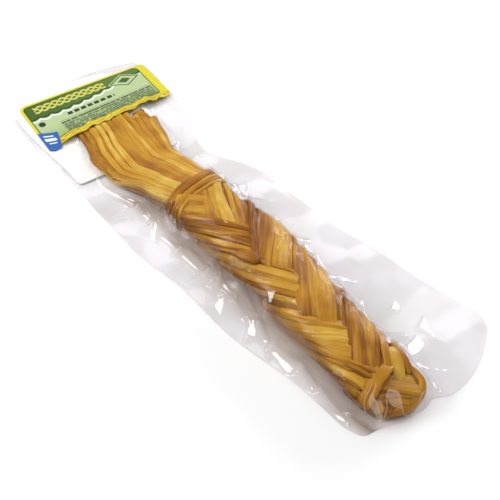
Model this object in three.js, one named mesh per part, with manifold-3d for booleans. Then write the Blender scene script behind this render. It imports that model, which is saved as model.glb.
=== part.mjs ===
// A smoked cheese plait with a loop at one end and a tassel at the other, vacuum packed in a
// clear bag with a white card and a paper label. Millimetres, +Z up, the bag lies on Z = 0.
// +X runs along the bag from the label end to the loop end, and the origin is under the
// middle of the bag's box.
import * as THREE from 'three';
import { mergeVertices } from 'three/addons/utils/BufferGeometryUtils.js';
import Module from 'manifold-3d';

const wasm = await Module();
wasm.setup();

// Driving dimensions
const gap = 0.3;              // clearance between touching pieces
const bagOffCentre = 1.9;     // the bag's middle lies this far to the right of the zero below
const bagHalfLength = 184;
const farEdgeBow = 11;        // the label end bulges by this at its middle
const bagLeft = -63.5;        // left edge of the bag at the label end
const bagRight = 43;          // right edge there
const bagDrift = 0.115;       // the bag swings to the right past the neck, mm per mm
const neckX = -17;            // where the tassel is tied off
const pinchX = -58;           // the right edge is drawn in beside the tassel
const pinchDepth = 17;
const pinchWidth = 24;
const filmFloor = 0.8;        // the folded film under the food
const cheeseBottom = filmFloor + gap;
const loopEndX = 182;         // outermost point of the loop

const turnLength = 22;        // from one crossing to the next along the plait
const firstCrossing = 50;     // X of the first crossing past the neck
const plaitStart = -12;
const plaitEnd = 166;
const strandHalfWidth = 14.5;
const strandHalfThick = 7;
const strandCrown = 2;        // a strand's sides lie this much lower than its middle
const plaitRoll = 0.22;       // the plait is rolled a little towards its left side, radians
const stringsAcross = 6;      // ridges over the width of one strand
const ridgeDepth = 1.3;

const tasselStrings = 12;
const tasselEnd = -123.5;
const stringWidth = 5.6;
const stringHeight = 4.4;
const tasselTaper = 0.66;     // the tassel's ends are pressed flatter by this

const cardThick = 0.5;
const cardEndX = -78;
const cardMargin = 2.5;
const labelThick = 0.3;

// Outer form of the food along X: centre line, half width and height of the top
const form = [
  { x: -126, centre: -9, half: 28, top: 4.9 },
  { x: -110, centre: -10.5, half: 29, top: 6.5 },
  { x: -90, centre: -15, half: 29, top: 9 },
  { x: -65, centre: -18.5, half: 25.5, top: 13 },
  { x: -40, centre: -14, half: 22, top: 19 },
  { x: -20, centre: -12, half: 20.5, top: 23 },
  { x: 0, centre: -12.5, half: 21.5, top: 27 },
  { x: 25, centre: -11, half: 22, top: 29.5 },
  { x: 50, centre: -10, half: 22.5, top: 30.5 },
  { x: 75, centre: -12, half: 20.8, top: 30.5 },
  { x: 100, centre: -12.5, half: 19.5, top: 30 },
  { x: 125, centre: -13.5, half: 19, top: 28.5 },
  { x: 150, centre: -14.5, half: 18.8, top: 25 },
  { x: 163, centre: -13.5, half: 20, top: 20 },
  { x: 184, centre: -12.5, half: 21, top: 15 },
];
const roundFrom = 158;        // the loop end is rounded off from here to loopEndX

function smooth(low, high, value) {
  const t = THREE.MathUtils.clamp((value - low) / (high - low), 0, 1);
  return t * t * (3 - 2 * t);
}

function bell(value, middle, width) {
  const t = (value - middle) / width;
  return Math.exp(-t * t);
}

// Centre, half width, middle height and half height of the food's section at x
function envelope(x) {
  let i = 0;
  while (i < form.length - 2 && x > form[i + 1].x) {
    i += 1;
  }
  const low = form[i];
  const high = form[i + 1];
  const t = smooth(low.x, high.x, x);
  const linear = THREE.MathUtils.clamp((x - low.x) / (high.x - low.x), 0, 1);
  const blend = 0.5 * (t + linear);
  const across = THREE.MathUtils.lerp(low.half, high.half, blend);
  const top = THREE.MathUtils.lerp(low.top, high.top, blend);
  const reach = THREE.MathUtils.clamp((x - roundFrom) / (loopEndX - roundFrom), 0, 0.995);
  const rounding = Math.pow(1 - Math.pow(reach, 2.6), 1 / 2.6);
  const b = 0.5 * (top - cheeseBottom) * Math.pow(rounding, 0.35);
  return {
    centre: THREE.MathUtils.lerp(low.centre, high.centre, blend),
    a: across * rounding,
    middle: cheeseBottom + b,
    b,
  };
}

// Superellipse radius of the section, flatter below than above
function squareness(z) {
  return z < 0 ? 3 : 2.4;
}

// Pulls a point of the section at x softly inside the food's outer form, then lifts it by proud
function fitInside(x, y, z, proud) {
  const e = envelope(x);
  const u = (y - e.centre) / e.a;
  const v = (z - e.middle) / e.b;
  const n = squareness(v);
  const r = Math.pow(Math.pow(Math.abs(u), n) + Math.pow(Math.abs(v), n), 1 / n) || 1e-6;
  const scale = 1 / Math.pow(1 + Math.pow(r, 8), 1 / 8);
  const lift = 1 + proud / Math.min(e.a, e.b);
  return new THREE.Vector3(
    x,
    e.centre + u * scale * lift * e.a,
    Math.max(cheeseBottom, e.middle + v * scale * lift * e.b),
  );
}

// Closed mesh over a row of rings of points. Each ring runs anticlockwise seen from ahead.
function skin(rings, endless = false) {
  const count = rings[0].length;
  const points = rings.flat();
  const faces = [];
  const last = endless ? rings.length : rings.length - 1;
  for (let i = 0; i < last; i += 1) {
    const here = i * count;
    const next = ((i + 1) % rings.length) * count;
    for (let j = 0; j < count; j += 1) {
      const k = (j + 1) % count;
      faces.push(here + j, here + k, next + k);
      faces.push(here + j, next + k, next + j);
    }
  }
  if (!endless) {
    for (const [ring, start] of [[rings[0], 0], [rings.at(-1), (rings.length - 1) * count]]) {
      const middle = new THREE.Vector3();
      ring.forEach((p) => middle.addScaledVector(p, 1 / count));
      points.push(middle);
      for (let j = 0; j < count; j += 1) {
        const k = (j + 1) % count;
        const pair = start === 0 ? [start + k, start + j] : [start + j, start + k];
        faces.push(points.length - 1, ...pair);
      }
    }
  }
  const geometry = new THREE.BufferGeometry().setFromPoints(points);
  geometry.setIndex(faces);
  return geometry;
}

// Closed mesh between an upper and a lower sheet, each a grid of points of the same size
function slab(upper, lower) {
  const rows = upper.length;
  const columns = upper[0].length;
  const points = [...upper.flat(), ...lower.flat()];
  const below = rows * columns;
  const faces = [];
  for (let i = 0; i < rows - 1; i += 1) {
    for (let j = 0; j < columns - 1; j += 1) {
      const p = i * columns + j;
      const q = p + columns;
      faces.push(p, q, q + 1, p, q + 1, p + 1);
      faces.push(below + p, below + q + 1, below + q, below + p, below + p + 1, below + q + 1);
    }
  }
  const rim = [];
  for (let j = 0; j < columns - 1; j += 1) {
    rim.push(j);
  }
  for (let i = 0; i < rows - 1; i += 1) {
    rim.push(i * columns + columns - 1);
  }
  for (let j = columns - 1; j > 0; j -= 1) {
    rim.push((rows - 1) * columns + j);
  }
  for (let i = rows - 1; i > 0; i -= 1) {
    rim.push(i * columns);
  }
  for (let n = 0; n < rim.length; n += 1) {
    const p = rim[n];
    const q = rim[(n + 1) % rim.length];
    faces.push(p, q, below + q, p, below + q, below + p);
  }
  const geometry = new THREE.BufferGeometry().setFromPoints(points);
  geometry.setIndex(faces);
  return geometry;
}

function solid(geometry) {
  const bare = geometry.clone();
  bare.deleteAttribute('normal');
  bare.deleteAttribute('uv');
  const merged = mergeVertices(bare, 1e-5);
  return new wasm.Manifold(new wasm.Mesh({
    numProp: 3,
    vertProperties: new Float32Array(merged.attributes.position.array),
    triVerts: new Uint32Array(merged.index.array),
  }));
}

function join(geometries) {
  return geometries.map(solid).reduce((sum, next) => sum.add(next));
}

// Geometry of a solid's outer surface alone: hollows sealed by the joining are filled and
// loose scraps dropped, by keeping the one connected surface with the most faces
function asGeometry(body) {
  const mesh = body.getMesh();
  const parent = Array.from({ length: mesh.vertProperties.length / 3 }, (_, n) => n);
  const root = (n) => {
    while (parent[n] !== n) {
      n = parent[n];
    }
    return n;
  };
  const corners = Array.from(mesh.triVerts);
  for (let n = 0; n < corners.length; n += 3) {
    parent[root(corners[n + 1])] = root(corners[n]);
    parent[root(corners[n + 2])] = root(corners[n]);
  }
  const sizes = new Map();
  corners.forEach((c) => sizes.set(root(c), (sizes.get(root(c)) ?? 0) + 1));
  const largest = [...sizes].sort((a, b) => b[1] - a[1])[0][0];
  const geometry = new THREE.BufferGeometry();
  geometry.setAttribute('position', new THREE.BufferAttribute(new Float32Array(mesh.vertProperties), 3));
  geometry.setIndex(corners.filter((c) => root(c) === largest));
  const clean = mergeVertices(geometry, 1e-5);
  clean.computeVertexNormals();
  return clean;
}

// Plait

// Tilt of a strand's flat side: level on top and beneath, upright at the outer edges
function strandTilt(phase) {
  return 0.5 * Math.PI * (1 - Math.tanh(3 * Math.cos(phase)) / Math.tanh(3));
}

function flatWave(value, power) {
  return Math.sign(value) * Math.pow(Math.abs(value), power);
}

// One of three strands. Across the plait it follows a sine of its phase and up and down minus
// the sine of twice the phase, so it comes over the top from each edge and dives in the middle.
function strand(index) {
  const rings = [];
  const steps = 26;
  for (let i = 0; i <= steps; i += 1) {
    const x = THREE.MathUtils.lerp(plaitStart, plaitEnd, i / steps);
    const e = envelope(x);
    const phase = ((x - firstCrossing) / turnLength) * (Math.PI / 3) + (index * 2 * Math.PI) / 3;
    const ends = smooth(plaitStart - 8, plaitStart + 10, x) * smooth(plaitEnd + 9, plaitEnd - 9, x);
    const sway = (e.a - strandHalfThick) * Math.sin(phase);
    const rise = -(e.b - strandHalfThick) * flatWave(Math.sin(2 * phase + 0.1), 0.4);
    const slope = ((e.a - strandHalfThick) * Math.cos(phase) * Math.PI) / (3 * turnLength);
    const halfWidth = strandHalfWidth * Math.hypot(1, slope);
    const tilt = strandTilt(phase);
    const ring = [];
    for (let j = 0; j < 4 * stringsAcross; j += 1) {
      const onTop = j >= 2 * stringsAcross;
      const along = onTop ? 4 * stringsAcross - j : j;
      const u = along / stringsAcross - 1;
      const wobble = 0.05 * Math.sin(0.11 * x + 2.3 * along + index);
      const side = Math.pow(Math.max(0, 1 - Math.pow(Math.abs(u), 3)), 1 / 3);
      const wide = halfWidth * (u + wobble * side) * (0.6 + 0.4 * ends);
      const thick = strandHalfThick * side * (onTop ? 1 : -1) * (0.6 + 0.4 * ends);
      const y = sway + wide * Math.cos(tilt) - thick * Math.sin(tilt);
      const z = rise + wide * Math.sin(tilt) + thick * Math.cos(tilt);
      const rolledY = y * Math.cos(plaitRoll) - z * Math.sin(plaitRoll);
      const rolledZ = y * Math.sin(plaitRoll) + z * Math.cos(plaitRoll);
      const ridge = (along % 2 ? 0.5 : -0.5) * ridgeDepth * ends;
      const proud = ridge - strandCrown * Math.pow(Math.abs(u), 3);
      ring.push(fitInside(x, e.centre + rolledY, e.middle + rolledZ, proud));
    }
    rings.push(ring);
  }
  return skin(rings);
}

// Smooth sweep of the outer form scaled by fill, from one X to another, grown by extra
function formSweep(from, to, steps, sides, fill, extra) {
  const rings = [];
  for (let i = 0; i <= steps; i += 1) {
    const x = THREE.MathUtils.lerp(from, to, i / steps);
    const e = envelope(x);
    const ring = [];
    for (let j = 0; j < sides; j += 1) {
      const angle = (2 * Math.PI * j) / sides;
      const power = 2 / squareness(Math.sin(angle));
      const y = flatWave(Math.cos(angle), power) * (e.a * fill + extra);
      const z = flatWave(Math.sin(angle), power) * (e.b * fill + extra);
      ring.push(new THREE.Vector3(x, e.centre + y, e.middle + z));
    }
    rings.push(ring);
  }
  return skin(rings);
}

// Flattened string along a list of points, lying flat; its height shrinks to taper at the end
function stringAlong(points, width, height, steps, sides, taper = 1) {
  const path = new THREE.CatmullRomCurve3(points);
  const up = new THREE.Vector3(0, 0, 1);
  const rings = [];
  for (let i = 0; i <= steps; i += 1) {
    const t = i / steps;
    const centre = path.getPoint(t);
    const ahead = path.getTangent(t);
    const left = new THREE.Vector3().crossVectors(up, ahead).normalize();
    const over = new THREE.Vector3().crossVectors(ahead, left);
    const ring = [];
    for (let j = 0; j < sides; j += 1) {
      const angle = (2 * Math.PI * (j + 0.5)) / sides;
      const p = centre.clone();
      p.addScaledVector(left, 0.5 * width * Math.cos(angle));
      p.addScaledVector(over, 0.5 * height * THREE.MathUtils.lerp(1, taper, t) * Math.sin(angle));
      ring.push(p);
    }
    rings.push(ring);
  }
  return skin(rings);
}

// Tassel: strings that leave the neck side by side, fan out and end under the label's edge,
// except the last ones on the right, which end short of it
function tassel() {
  const strings = [];
  for (let i = 0; i < tasselStrings; i += 1) {
    const place = -1 + (2 * i) / (tasselStrings - 1);
    const points = [];
    const stops = 8;
    const end = tasselEnd + 1.5 * Math.sin(5 * i) + 11 * smooth(0.5, 0.7, place);
    for (let k = 0; k <= stops; k += 1) {
      const x = THREE.MathUtils.lerp(plaitStart + 4, end, k / stops);
      const e = envelope(x);
      const sag = 0.05 * Math.sin(0.055 * x + 2.6 * i);
      const f = THREE.MathUtils.clamp(0.93 * place + sag, -0.95, 0.95);
      const arch = Math.pow(1 - Math.pow(Math.abs(f), 2.4), 1 / 2.4);
      const y = e.centre + f * e.a;
      const top = e.middle + e.b * arch;
      const thick = stringHeight * THREE.MathUtils.lerp(1, tasselTaper, k / stops);
      const low = cheeseBottom + 0.5 * thick + smooth(-60, -76, x) * (cardThick + gap);
      points.push(new THREE.Vector3(x, y, Math.max(low, top - 0.5 * thick)));
    }
    strings.push(stringAlong(points, stringWidth, stringHeight, 8, 6, tasselTaper));
  }
  return strings;
}

// Loop: a rim string round the end, a flat strap in its eye and a strap folded over the left.
// Grown by extra they are the room that the bag leaves for them.
function loopEnd(extra) {
  const rimPoints = [
    [137, -3, 12], [149, 4, 12.5], [162, 4, 12], [171, 1.5, 11.5], [176.5, -4, 11],
    [178, -12, 10.5], [176.5, -21, 10.5], [171, -27.5, 10], [162, -29.5, 9.5], [150, -29, 9.5],
  ].map((p) => new THREE.Vector3(...p));
  const strapPoints = [[150, -10, 22], [158, -18, 20.5], [163, -26, 16], [166, -32, 10]]
    .map((p) => new THREE.Vector3(...p));
  const eyePoints = [[156, -17, 13], [164, -13, 12], [174, -9, 11]]
    .map((p) => new THREE.Vector3(...p));
  return [
    stringAlong(rimPoints, 8.5 + 2 * extra, 11 + 2 * extra, 16, 8),
    stringAlong(strapPoints, 9 + 2 * extra, 4 + 2 * extra, 6, 8),
    stringAlong(eyePoints, 17 + 2 * extra, 7 + 2 * extra, 5, 8),
  ];
}

// Tie: wraps of cheese string round the neck, one broad and three thin. Its profile gives how
// far along the neck each point lies and how far it stands out of the groove's mouth.
const tieLean = 0.26;         // the ring leans along X from left to right
const tieDepth = 1.6;
const tieProfile = [
  [-4.6, 0.2], [-3.2, 2.6], [0.6, 2.9], [2.6, 1.2],
  [4.4, 2.6], [6.0, 1.3], [7.8, 2.6], [9.4, 1.2], [11, 2.3], [12.4, 0.2],
  [12.4, -tieDepth], [-4.6, -tieDepth],
];

// Ring round the neck with the given profile, its lowest points held at floor
function neckRing(profile, sides, floor) {
  const rings = [];
  for (let i = 0; i < sides; i += 1) {
    const angle = (-2 * Math.PI * i) / sides;
    const power = 2 / squareness(Math.sin(angle));
    const lean = -tieLean * envelope(neckX).a * Math.cos(angle);
    rings.push(profile.map(([along, height]) => {
      const x = neckX + along + lean;
      const e = envelope(x);
      const y = flatWave(Math.cos(angle), power) * (e.a - 1.4 + height);
      const z = flatWave(Math.sin(angle), power) * (e.b - 1.4 + height);
      return new THREE.Vector3(x, e.centre + y, Math.max(floor, e.middle + z));
    }));
  }
  return skin(rings, true);
}

// The groove for the tie: a plain trough with a gap all round, as high as asked
function tieGroove(height) {
  const low = -4.6 - gap;
  const high = 12.4 + gap;
  const depth = -tieDepth - gap;
  return neckRing([[low, height], [high, height], [high, depth], [low, depth]], 24, filmFloor);
}

// Bag: film welded round the food. Its floor is flat, the free flange waves a little, and
// beside the plait the film stands up as a tent that leans on the food.
function drift(x) {
  return bagDrift * 0.5 * (x + Math.sqrt(x * x + 900));
}

function bagLeftEdge(x) {
  return bagLeft + drift(x) + 1.2 * Math.sin(x / 19);
}

function bagRightEdge(x) {
  const flare = 4 * smooth(-130, -175, x) + 4 * smooth(90, 165, x);
  return bagRight + drift(x) + flare - pinchDepth * bell(x, pinchX, pinchWidth);
}

function bag() {
  const upper = [];
  const lower = [];
  const rows = 34;
  const flangeSteps = [0, 0.14, 0.4, 0.68, 0.87, 1];
  for (let i = 0; i <= rows; i += 1) {
    const s = i / rows;
    const xAt = (t) => THREE.MathUtils.lerp(
      -bagHalfLength + farEdgeBow * t * t,
      bagHalfLength - (t > 0 ? 24 * Math.pow(t, 6) : 12 * Math.pow(t, 8)),
      s,
    );
    const middleX = xAt(0);
    const e = envelope(middleX);
    const side = Math.max(e.a, 8);
    const left = bagLeftEdge(middleX);
    const right = bagRightEdge(middleX);
    const row = [];
    flangeSteps.forEach((q) => row.push([THREE.MathUtils.lerp(left, e.centre - side, q), 1 - q, -1]));
    row.push([e.centre, 0, 0]);
    [...flangeSteps].reverse().forEach((q) => {
      row.push([THREE.MathUtils.lerp(right, e.centre + side, q), 1 - q, 1]);
    });
    upper.push([]);
    lower.push([]);
    row.forEach(([y, q, hand]) => {
      const t = (2 * (y - left)) / (right - left) - 1;
      const x = xAt(t);
      const room = smooth(-70, -45, x);
      const width = 15 + 5 * Math.sin(x / 9 + hand) + 3 * Math.sin(x / 4.1);
      const distance = q * (hand < 0 ? e.centre - side - left : right - e.centre - side);
      const lean = Math.pow(Math.max(0, 1 - distance / width), 2);
      const tent = room * smooth(184, 170, x) * 0.8 * e.b * lean;
      const wave = 1.6 * room * q * (1 + Math.sin(x / 13 + 1.7 * hand));
      lower.at(-1).push(new THREE.Vector3(x, y, wave));
      upper.at(-1).push(new THREE.Vector3(x, y, wave + filmFloor + tent));
    });
  }
  const room = [
    formSweep(-74, loopEndX + 0.2, 32, 16, 1, gap + 0.5 * ridgeDepth),
    ...loopEnd(2 * gap),
    tieGroove(3.2),
  ];
  return solid(slab(upper, lower)).subtract(join(room));
}

// Card and label
function card() {
  const upper = [];
  const lower = [];
  const rows = 7;
  const columns = 6;
  const base = filmFloor + gap;
  for (let i = 0; i <= rows; i += 1) {
    upper.push([]);
    lower.push([]);
    for (let j = 0; j <= columns; j += 1) {
      const t = (2 * j) / columns - 1;
      const far = -bagHalfLength + farEdgeBow * t * t + cardMargin;
      const x = THREE.MathUtils.lerp(far, cardEndX, i / rows);
      const low = bagLeftEdge(x) + cardMargin;
      const high = bagRightEdge(x) - cardMargin;
      const y = THREE.MathUtils.lerp(low, high, j / columns);
      upper.at(-1).push(new THREE.Vector3(x, y, base + cardThick));
      lower.at(-1).push(new THREE.Vector3(x, y, base));
    }
  }
  return slab(upper, lower);
}

const labelFarLeft = [-175, -55];
const labelFarRight = [-168, 45];
const labelNearRight = [-123, 43];
const labelNearLeft = [-121, -59];
const labelLift = 3.4;        // the label's near edge rides up over the tassel by this
const tabReach = 4;           // a printed badge hangs over the near edge at its left corner

function label() {
  const upper = [];
  const lower = [];
  const rows = 7;
  const columns = 16;
  const base = filmFloor + cardThick + 3 * gap;
  for (let i = 0; i <= rows; i += 1) {
    upper.push([]);
    lower.push([]);
    for (let j = 0; j <= columns; j += 1) {
      const s = i / rows;
      const t = j / columns;
      const tab = tabReach * smooth(0.02, 0.05, t) * smooth(0.21, 0.16, t) * s;
      const farX = THREE.MathUtils.lerp(labelFarLeft[0], labelFarRight[0], t);
      const nearX = THREE.MathUtils.lerp(labelNearLeft[0], labelNearRight[0], t);
      const farY = THREE.MathUtils.lerp(labelFarLeft[1], labelFarRight[1], t);
      const nearY = THREE.MathUtils.lerp(labelNearLeft[1], labelNearRight[1], t);
      const x = THREE.MathUtils.lerp(farX, nearX, s) + tab;
      const y = THREE.MathUtils.lerp(farY, nearY, s);
      const lift = labelLift * smooth(0.6, 0.93, s) * smooth(0.02, 0.22, t) * smooth(0.98, 0.8, t);
      upper.at(-1).push(new THREE.Vector3(x, y, base + lift + labelThick));
      lower.at(-1).push(new THREE.Vector3(x, y, base + lift));
    }
  }
  return slab(upper, lower);
}

// Assembly
const part = new THREE.Group();
part.position.y = -bagOffCentre;

function add(name, geometry, colour, roughness) {
  const material = new THREE.MeshStandardMaterial({ color: colour, roughness, metalness: 0 });
  const mesh = new THREE.Mesh(geometry, material);
  mesh.name = name;
  part.add(mesh);
}

const groove = solid(tieGroove(6));
const plait = join([
  formSweep(-112, loopEndX - 6, 20, 12, 0.66, 0),
  strand(0), strand(1), strand(2),
  ...tassel(),
  ...loopEnd(0),
]);

add('braid', asGeometry(plait.subtract(groove)), '#c8943c', 0.5);
add('neck_band', neckRing(tieProfile, 28, cheeseBottom), '#a87036', 0.45);
add('bag', asGeometry(bag()), '#e6e6ea', 0.15);
add('card', card(), '#f2f0ea', 0.6);
add('label', label(), '#8fae3a', 0.5);

export default part;
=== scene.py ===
import bpy
import numpy as np
from mathutils import Euler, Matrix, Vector


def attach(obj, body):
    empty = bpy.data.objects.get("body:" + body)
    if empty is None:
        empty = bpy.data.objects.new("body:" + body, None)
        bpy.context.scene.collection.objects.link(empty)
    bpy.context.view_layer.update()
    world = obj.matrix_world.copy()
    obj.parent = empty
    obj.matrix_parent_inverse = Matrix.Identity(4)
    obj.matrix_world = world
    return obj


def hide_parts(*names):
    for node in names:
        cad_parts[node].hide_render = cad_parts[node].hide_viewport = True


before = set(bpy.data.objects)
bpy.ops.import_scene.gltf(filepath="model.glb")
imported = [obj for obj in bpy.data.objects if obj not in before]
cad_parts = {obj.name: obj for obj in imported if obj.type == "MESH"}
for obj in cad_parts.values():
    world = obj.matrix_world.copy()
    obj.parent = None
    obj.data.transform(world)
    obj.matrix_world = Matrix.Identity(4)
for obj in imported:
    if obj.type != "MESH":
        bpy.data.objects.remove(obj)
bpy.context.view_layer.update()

millimetre = 0.001
bagOffCentre = 1.9  # the model was moved by this towards -Y when it was centred


# Numbers and curves

def smooth(low, high, value):
    # Rises from 0 at low to 1 at high along 3t^2 - 2t^3
    t = np.clip((value - low) / (high - low), 0, 1)
    return t * t * (3 - 2 * t)


def bell(value, middle, width):
    # exp(-t^2), one at the middle
    return np.exp(-((value - middle) / width) ** 2)


def flatWave(value, power):
    # A power of the value's size, with the value's sign kept
    return np.sign(value) * np.abs(value) ** power


def mix(first, second, share):
    return first + (second - first) * share


def stacked(*parts):
    # Points or vectors from their parts, each spread over the shape that they share
    return np.stack(np.broadcast_arrays(*parts), -1)


def unit(vectors):
    return vectors / np.linalg.norm(vectors, axis=-1, keepdims=True)


def runLength(points):
    steps = np.linalg.norm(np.diff(points, axis=0), axis=1)
    return np.concatenate([[0], np.cumsum(steps)])


def cornerInset(away, radius):
    # How far a rounded corner draws an end's edge in, at a distance away from the side
    return radius - np.sqrt(radius ** 2 - np.clip(radius - away, 0, radius) ** 2)


def curveThrough(points, count):
    # Smooth curve through a few points: on each span the cubic whose slope at a point is half
    # the step between the point's two neighbours
    points = np.asarray(points, float)
    place = np.linspace(0, len(points) - 1, count)
    span = np.minimum(place.astype(int), len(points) - 2)
    t = (place - span)[:, None]
    ends = np.vstack([2 * points[0] - points[1], points, 2 * points[-1] - points[-2]])
    before, first, second, after = (ends[span + n] for n in range(4))
    bend = 2 * before - 5 * first + 4 * second - after
    twist = 3 * first - before - 3 * second + after
    return first + 0.5 * t * (second - before + t * (bend + t * twist))


def curveAt(stations, values, x):
    # Smooth curve through values given at stations, read at x
    dense = curveThrough(np.column_stack([stations, values]), 40 * len(stations))
    return np.interp(x, dense[:, 0], dense[:, 1])


# The food's outer form

foodForm = {
    "x": [-126, -110, -90, -65, -40, -20, 0, 25, 50, 75, 100, 125, 150, 163, 184],
    "centre": [-9, -10.5, -15, -18.5, -14, -12, -12.5, -11, -10, -12, -12.5, -13.5, -14.5,
               -13.5, -12.5],
    "half": [28, 29, 29, 25.5, 22, 20.5, 21.5, 22, 22.5, 20.8, 19.5, 19, 18.8, 20, 21],
    "top": [4.9, 6.5, 9, 13, 19, 23, 27, 29.5, 30.5, 30.5, 30, 28.5, 25, 20, 15],
    "bottom": 1.1,
    "squareTop": 2.4,       # power of the section's superellipse above its middle
    "squareUnder": 3.0,
    "roundFrom": 158,       # the loop end is rounded off from here
    "roundPower": 2.6,
    "heightPower": 0.35,    # the height takes this power of the rounding
    "loopEnd": 181,
    "cardFrom": -60,        # past here the food lies on the card, which lifts it
    "cardFull": -76,
    "cardLift": 0.8,
}


def envelope(x):
    # Centre line, half width, middle height and half height of the section at x: each is
    # blended between its stations half straight and half smooth, and the end is rounded
    stations = np.array(foodForm["x"], float)
    i = np.clip(np.searchsorted(stations, x) - 1, 0, len(stations) - 2)
    t = np.clip((x - stations[i]) / (stations[i + 1] - stations[i]), 0, 1)
    share = 0.5 * (t + smooth(0, 1, t))
    rows = (np.array(foodForm[key], float) for key in ("centre", "half", "top"))
    centre, half, top = (mix(row[i], row[i + 1], share) for row in rows)
    start = foodForm["roundFrom"]
    reach = np.clip((x - start) / (foodForm["loopEnd"] - start), 0, 0.995)
    rounding = (1 - reach ** foodForm["roundPower"]) ** (1 / foodForm["roundPower"])
    b = 0.5 * (top - foodForm["bottom"]) * rounding ** foodForm["heightPower"]
    return centre, half * rounding, foodForm["bottom"] + b, b


def sectionPower(under):
    return np.where(under, foodForm["squareUnder"], foodForm["squareTop"])


def sectionRadius(u, v):
    # Superellipse radius of a point of the section, flatter below than above
    n = sectionPower(v < 0)
    return (np.abs(u) ** n + np.abs(v) ** n) ** (1 / n) + 1e-6


def sectionPoint(angle):
    # Point of the section's superellipse at an angle from its right side towards its top
    power = 2 / sectionPower(np.sin(angle) < 0)
    return flatWave(np.cos(angle), power), flatWave(np.sin(angle), power)


def floorUnder(x):
    # The food's underside, which the card lifts
    onCard = smooth(foodForm["cardFrom"], foodForm["cardFull"], x)
    return foodForm["bottom"] + foodForm["cardLift"] * onCard


def fitInside(x, y, z, proud):
    # Pulls points softly inside the outer form, as the film presses them, then lifts them
    centre, a, middle, b = envelope(x)
    u = (y - centre) / a
    v = (z - middle) / b
    pull = (1 + sectionRadius(u, v) ** 8) ** (-1 / 8)
    lift = 1 + proud / np.minimum(a, b)
    height = np.maximum(floorUnder(x), middle + v * pull * lift * b)
    return stacked(x, centre + u * pull * lift * a, height)


def depthInside(points):
    # How deep points lie below the outer form, in millimetres
    centre, a, middle, b = envelope(points[..., 0])
    radius = sectionRadius((points[..., 1] - centre) / a, (points[..., 2] - middle) / b)
    return (1 - radius) * np.minimum(a, b)


# Meshes

def newBundle():
    # Tubes gathered for one piece
    return {"points": [], "quads": [], "fans": [], "fibre": [], "tone": [], "edge": [],
            "count": 0}


def addTube(bundle, rings, fibre, tone, endless=False):
    # Closed skin over a row of rings, its faces turned outward by the sign of its volume. A
    # tube that isn't endless gets a point at each end. The edge value is |cos| of the angle
    # round the ring: 1 at the flat string's two edges.
    n, m = rings.shape[:2]
    edge = np.tile(np.abs(np.cos(2 * np.pi * (np.arange(m) + 0.5) / m)), n)
    edge = np.append(edge, [] if endless else [0.5, 0.5])
    first = bundle["count"]
    grid = np.arange(n * m).reshape(n, m)
    side = np.roll(grid, -1, axis=1)
    ahead, aheadSide = (np.roll(row, -1, axis=0) for row in (grid, side))
    quads = stacked(grid, side, aheadSide, ahead)[:n if endless else n - 1].reshape(-1, 4)
    points = rings.reshape(-1, 3)
    corner = points[quads]
    outward = np.cross(corner[:, 2] - corner[:, 0], corner[:, 3] - corner[:, 1])
    volume = np.einsum("ij,ij->", corner.mean(1) - points.mean(0), outward)
    fans = np.zeros((0, 3), int)
    if not endless:
        start = stacked(side[0], grid[0], n * m)
        end = stacked(grid[-1], side[-1], n * m + 1)
        fans = np.concatenate([start, end])
        points = np.vstack([points, rings[0].mean(0), rings[-1].mean(0)])
        fibre = np.vstack([fibre.reshape(-1, 3), fibre[0].mean(0), fibre[-1].mean(0)])
    if volume < 0:
        quads, fans = quads[:, ::-1], fans[:, ::-1]
    bundle["points"].append(points)
    bundle["quads"].append(quads + first)
    bundle["fans"].append(fans + first)
    bundle["fibre"].append(fibre.reshape(-1, 3))
    bundle["tone"].append(np.full(len(points), float(tone)))
    bundle["edge"].append(edge)
    bundle["count"] += len(points)


def bundleShape(bundle):
    return np.vstack(bundle["points"]), [np.vstack(bundle[kind]) for kind in ("quads", "fans")]


def linkedObject(name, data):
    made = bpy.data.objects.new(name, data)
    bpy.context.scene.collection.objects.link(made)
    return made


def makePiece(name, points, faces, material, slotName, nodes, attributes=None):
    # Puts points in millimetres into a mesh in metres, smooth shaded, riding on the root
    mesh = bpy.data.meshes.new(name)
    placed = (np.asarray(points) - [0, bagOffCentre, 0]) * millimetre
    mesh.from_pydata(placed.tolist(), [], [face for part in faces for face in part.tolist()])
    for key, values in (attributes or {}).items():
        kind, field = ("FLOAT", "value") if values.ndim == 1 else ("FLOAT_VECTOR", "vector")
        layer = mesh.attributes.new(key, kind, "POINT")
        layer.data.foreach_set(field, values.astype(np.float32).ravel())
    mesh.polygons.foreach_set("use_smooth", np.ones(len(mesh.polygons), bool))
    mesh.update()
    mesh.materials.append(material)
    piece = linkedObject(name, mesh)
    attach(piece, "root")
    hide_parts(*nodes)
    triangles = sum(len(part) * (part.shape[1] - 2) for part in faces)
    print(f"{name}: {len(points)} points, {triangles} triangles")


def makeCheese(name, bundle, nodes, slotName="smoked_cheese", material=None, dark=(1.1, 4.2)):
    # One piece from a bundle of strings. Painted shade darkens its creases, growing between
    # two depths below the outer form.
    points, faces = bundleShape(bundle)
    attributes = {key: np.concatenate(bundle[key]) for key in ("fibre", "tone", "edge")}
    attributes["paintedShade"] = smooth(*dark, depthInside(points))
    makePiece(name, points, faces, material or cheeseMaterial, slotName, nodes, attributes)


def closedSheet(upper, lower):
    # Closed skin between an upper and a lower grid of points of the same size
    n, m = upper.shape[:2]
    top = np.arange(n * m).reshape(n, m)
    quads = stacked(top[:-1, :-1], top[1:, :-1], top[1:, 1:], top[:-1, 1:]).reshape(-1, 4)
    rim = np.concatenate([top[0, :-1], top[:-1, -1], top[-1, :0:-1], top[:0:-1, 0]])
    ahead = np.roll(rim, -1)
    under = n * m
    sides = stacked(rim, ahead, ahead + under, rim + under)
    faces = np.vstack([quads, quads[:, ::-1] + under, sides])
    return np.vstack([upper.reshape(-1, 3), lower.reshape(-1, 3)]), faces


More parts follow.
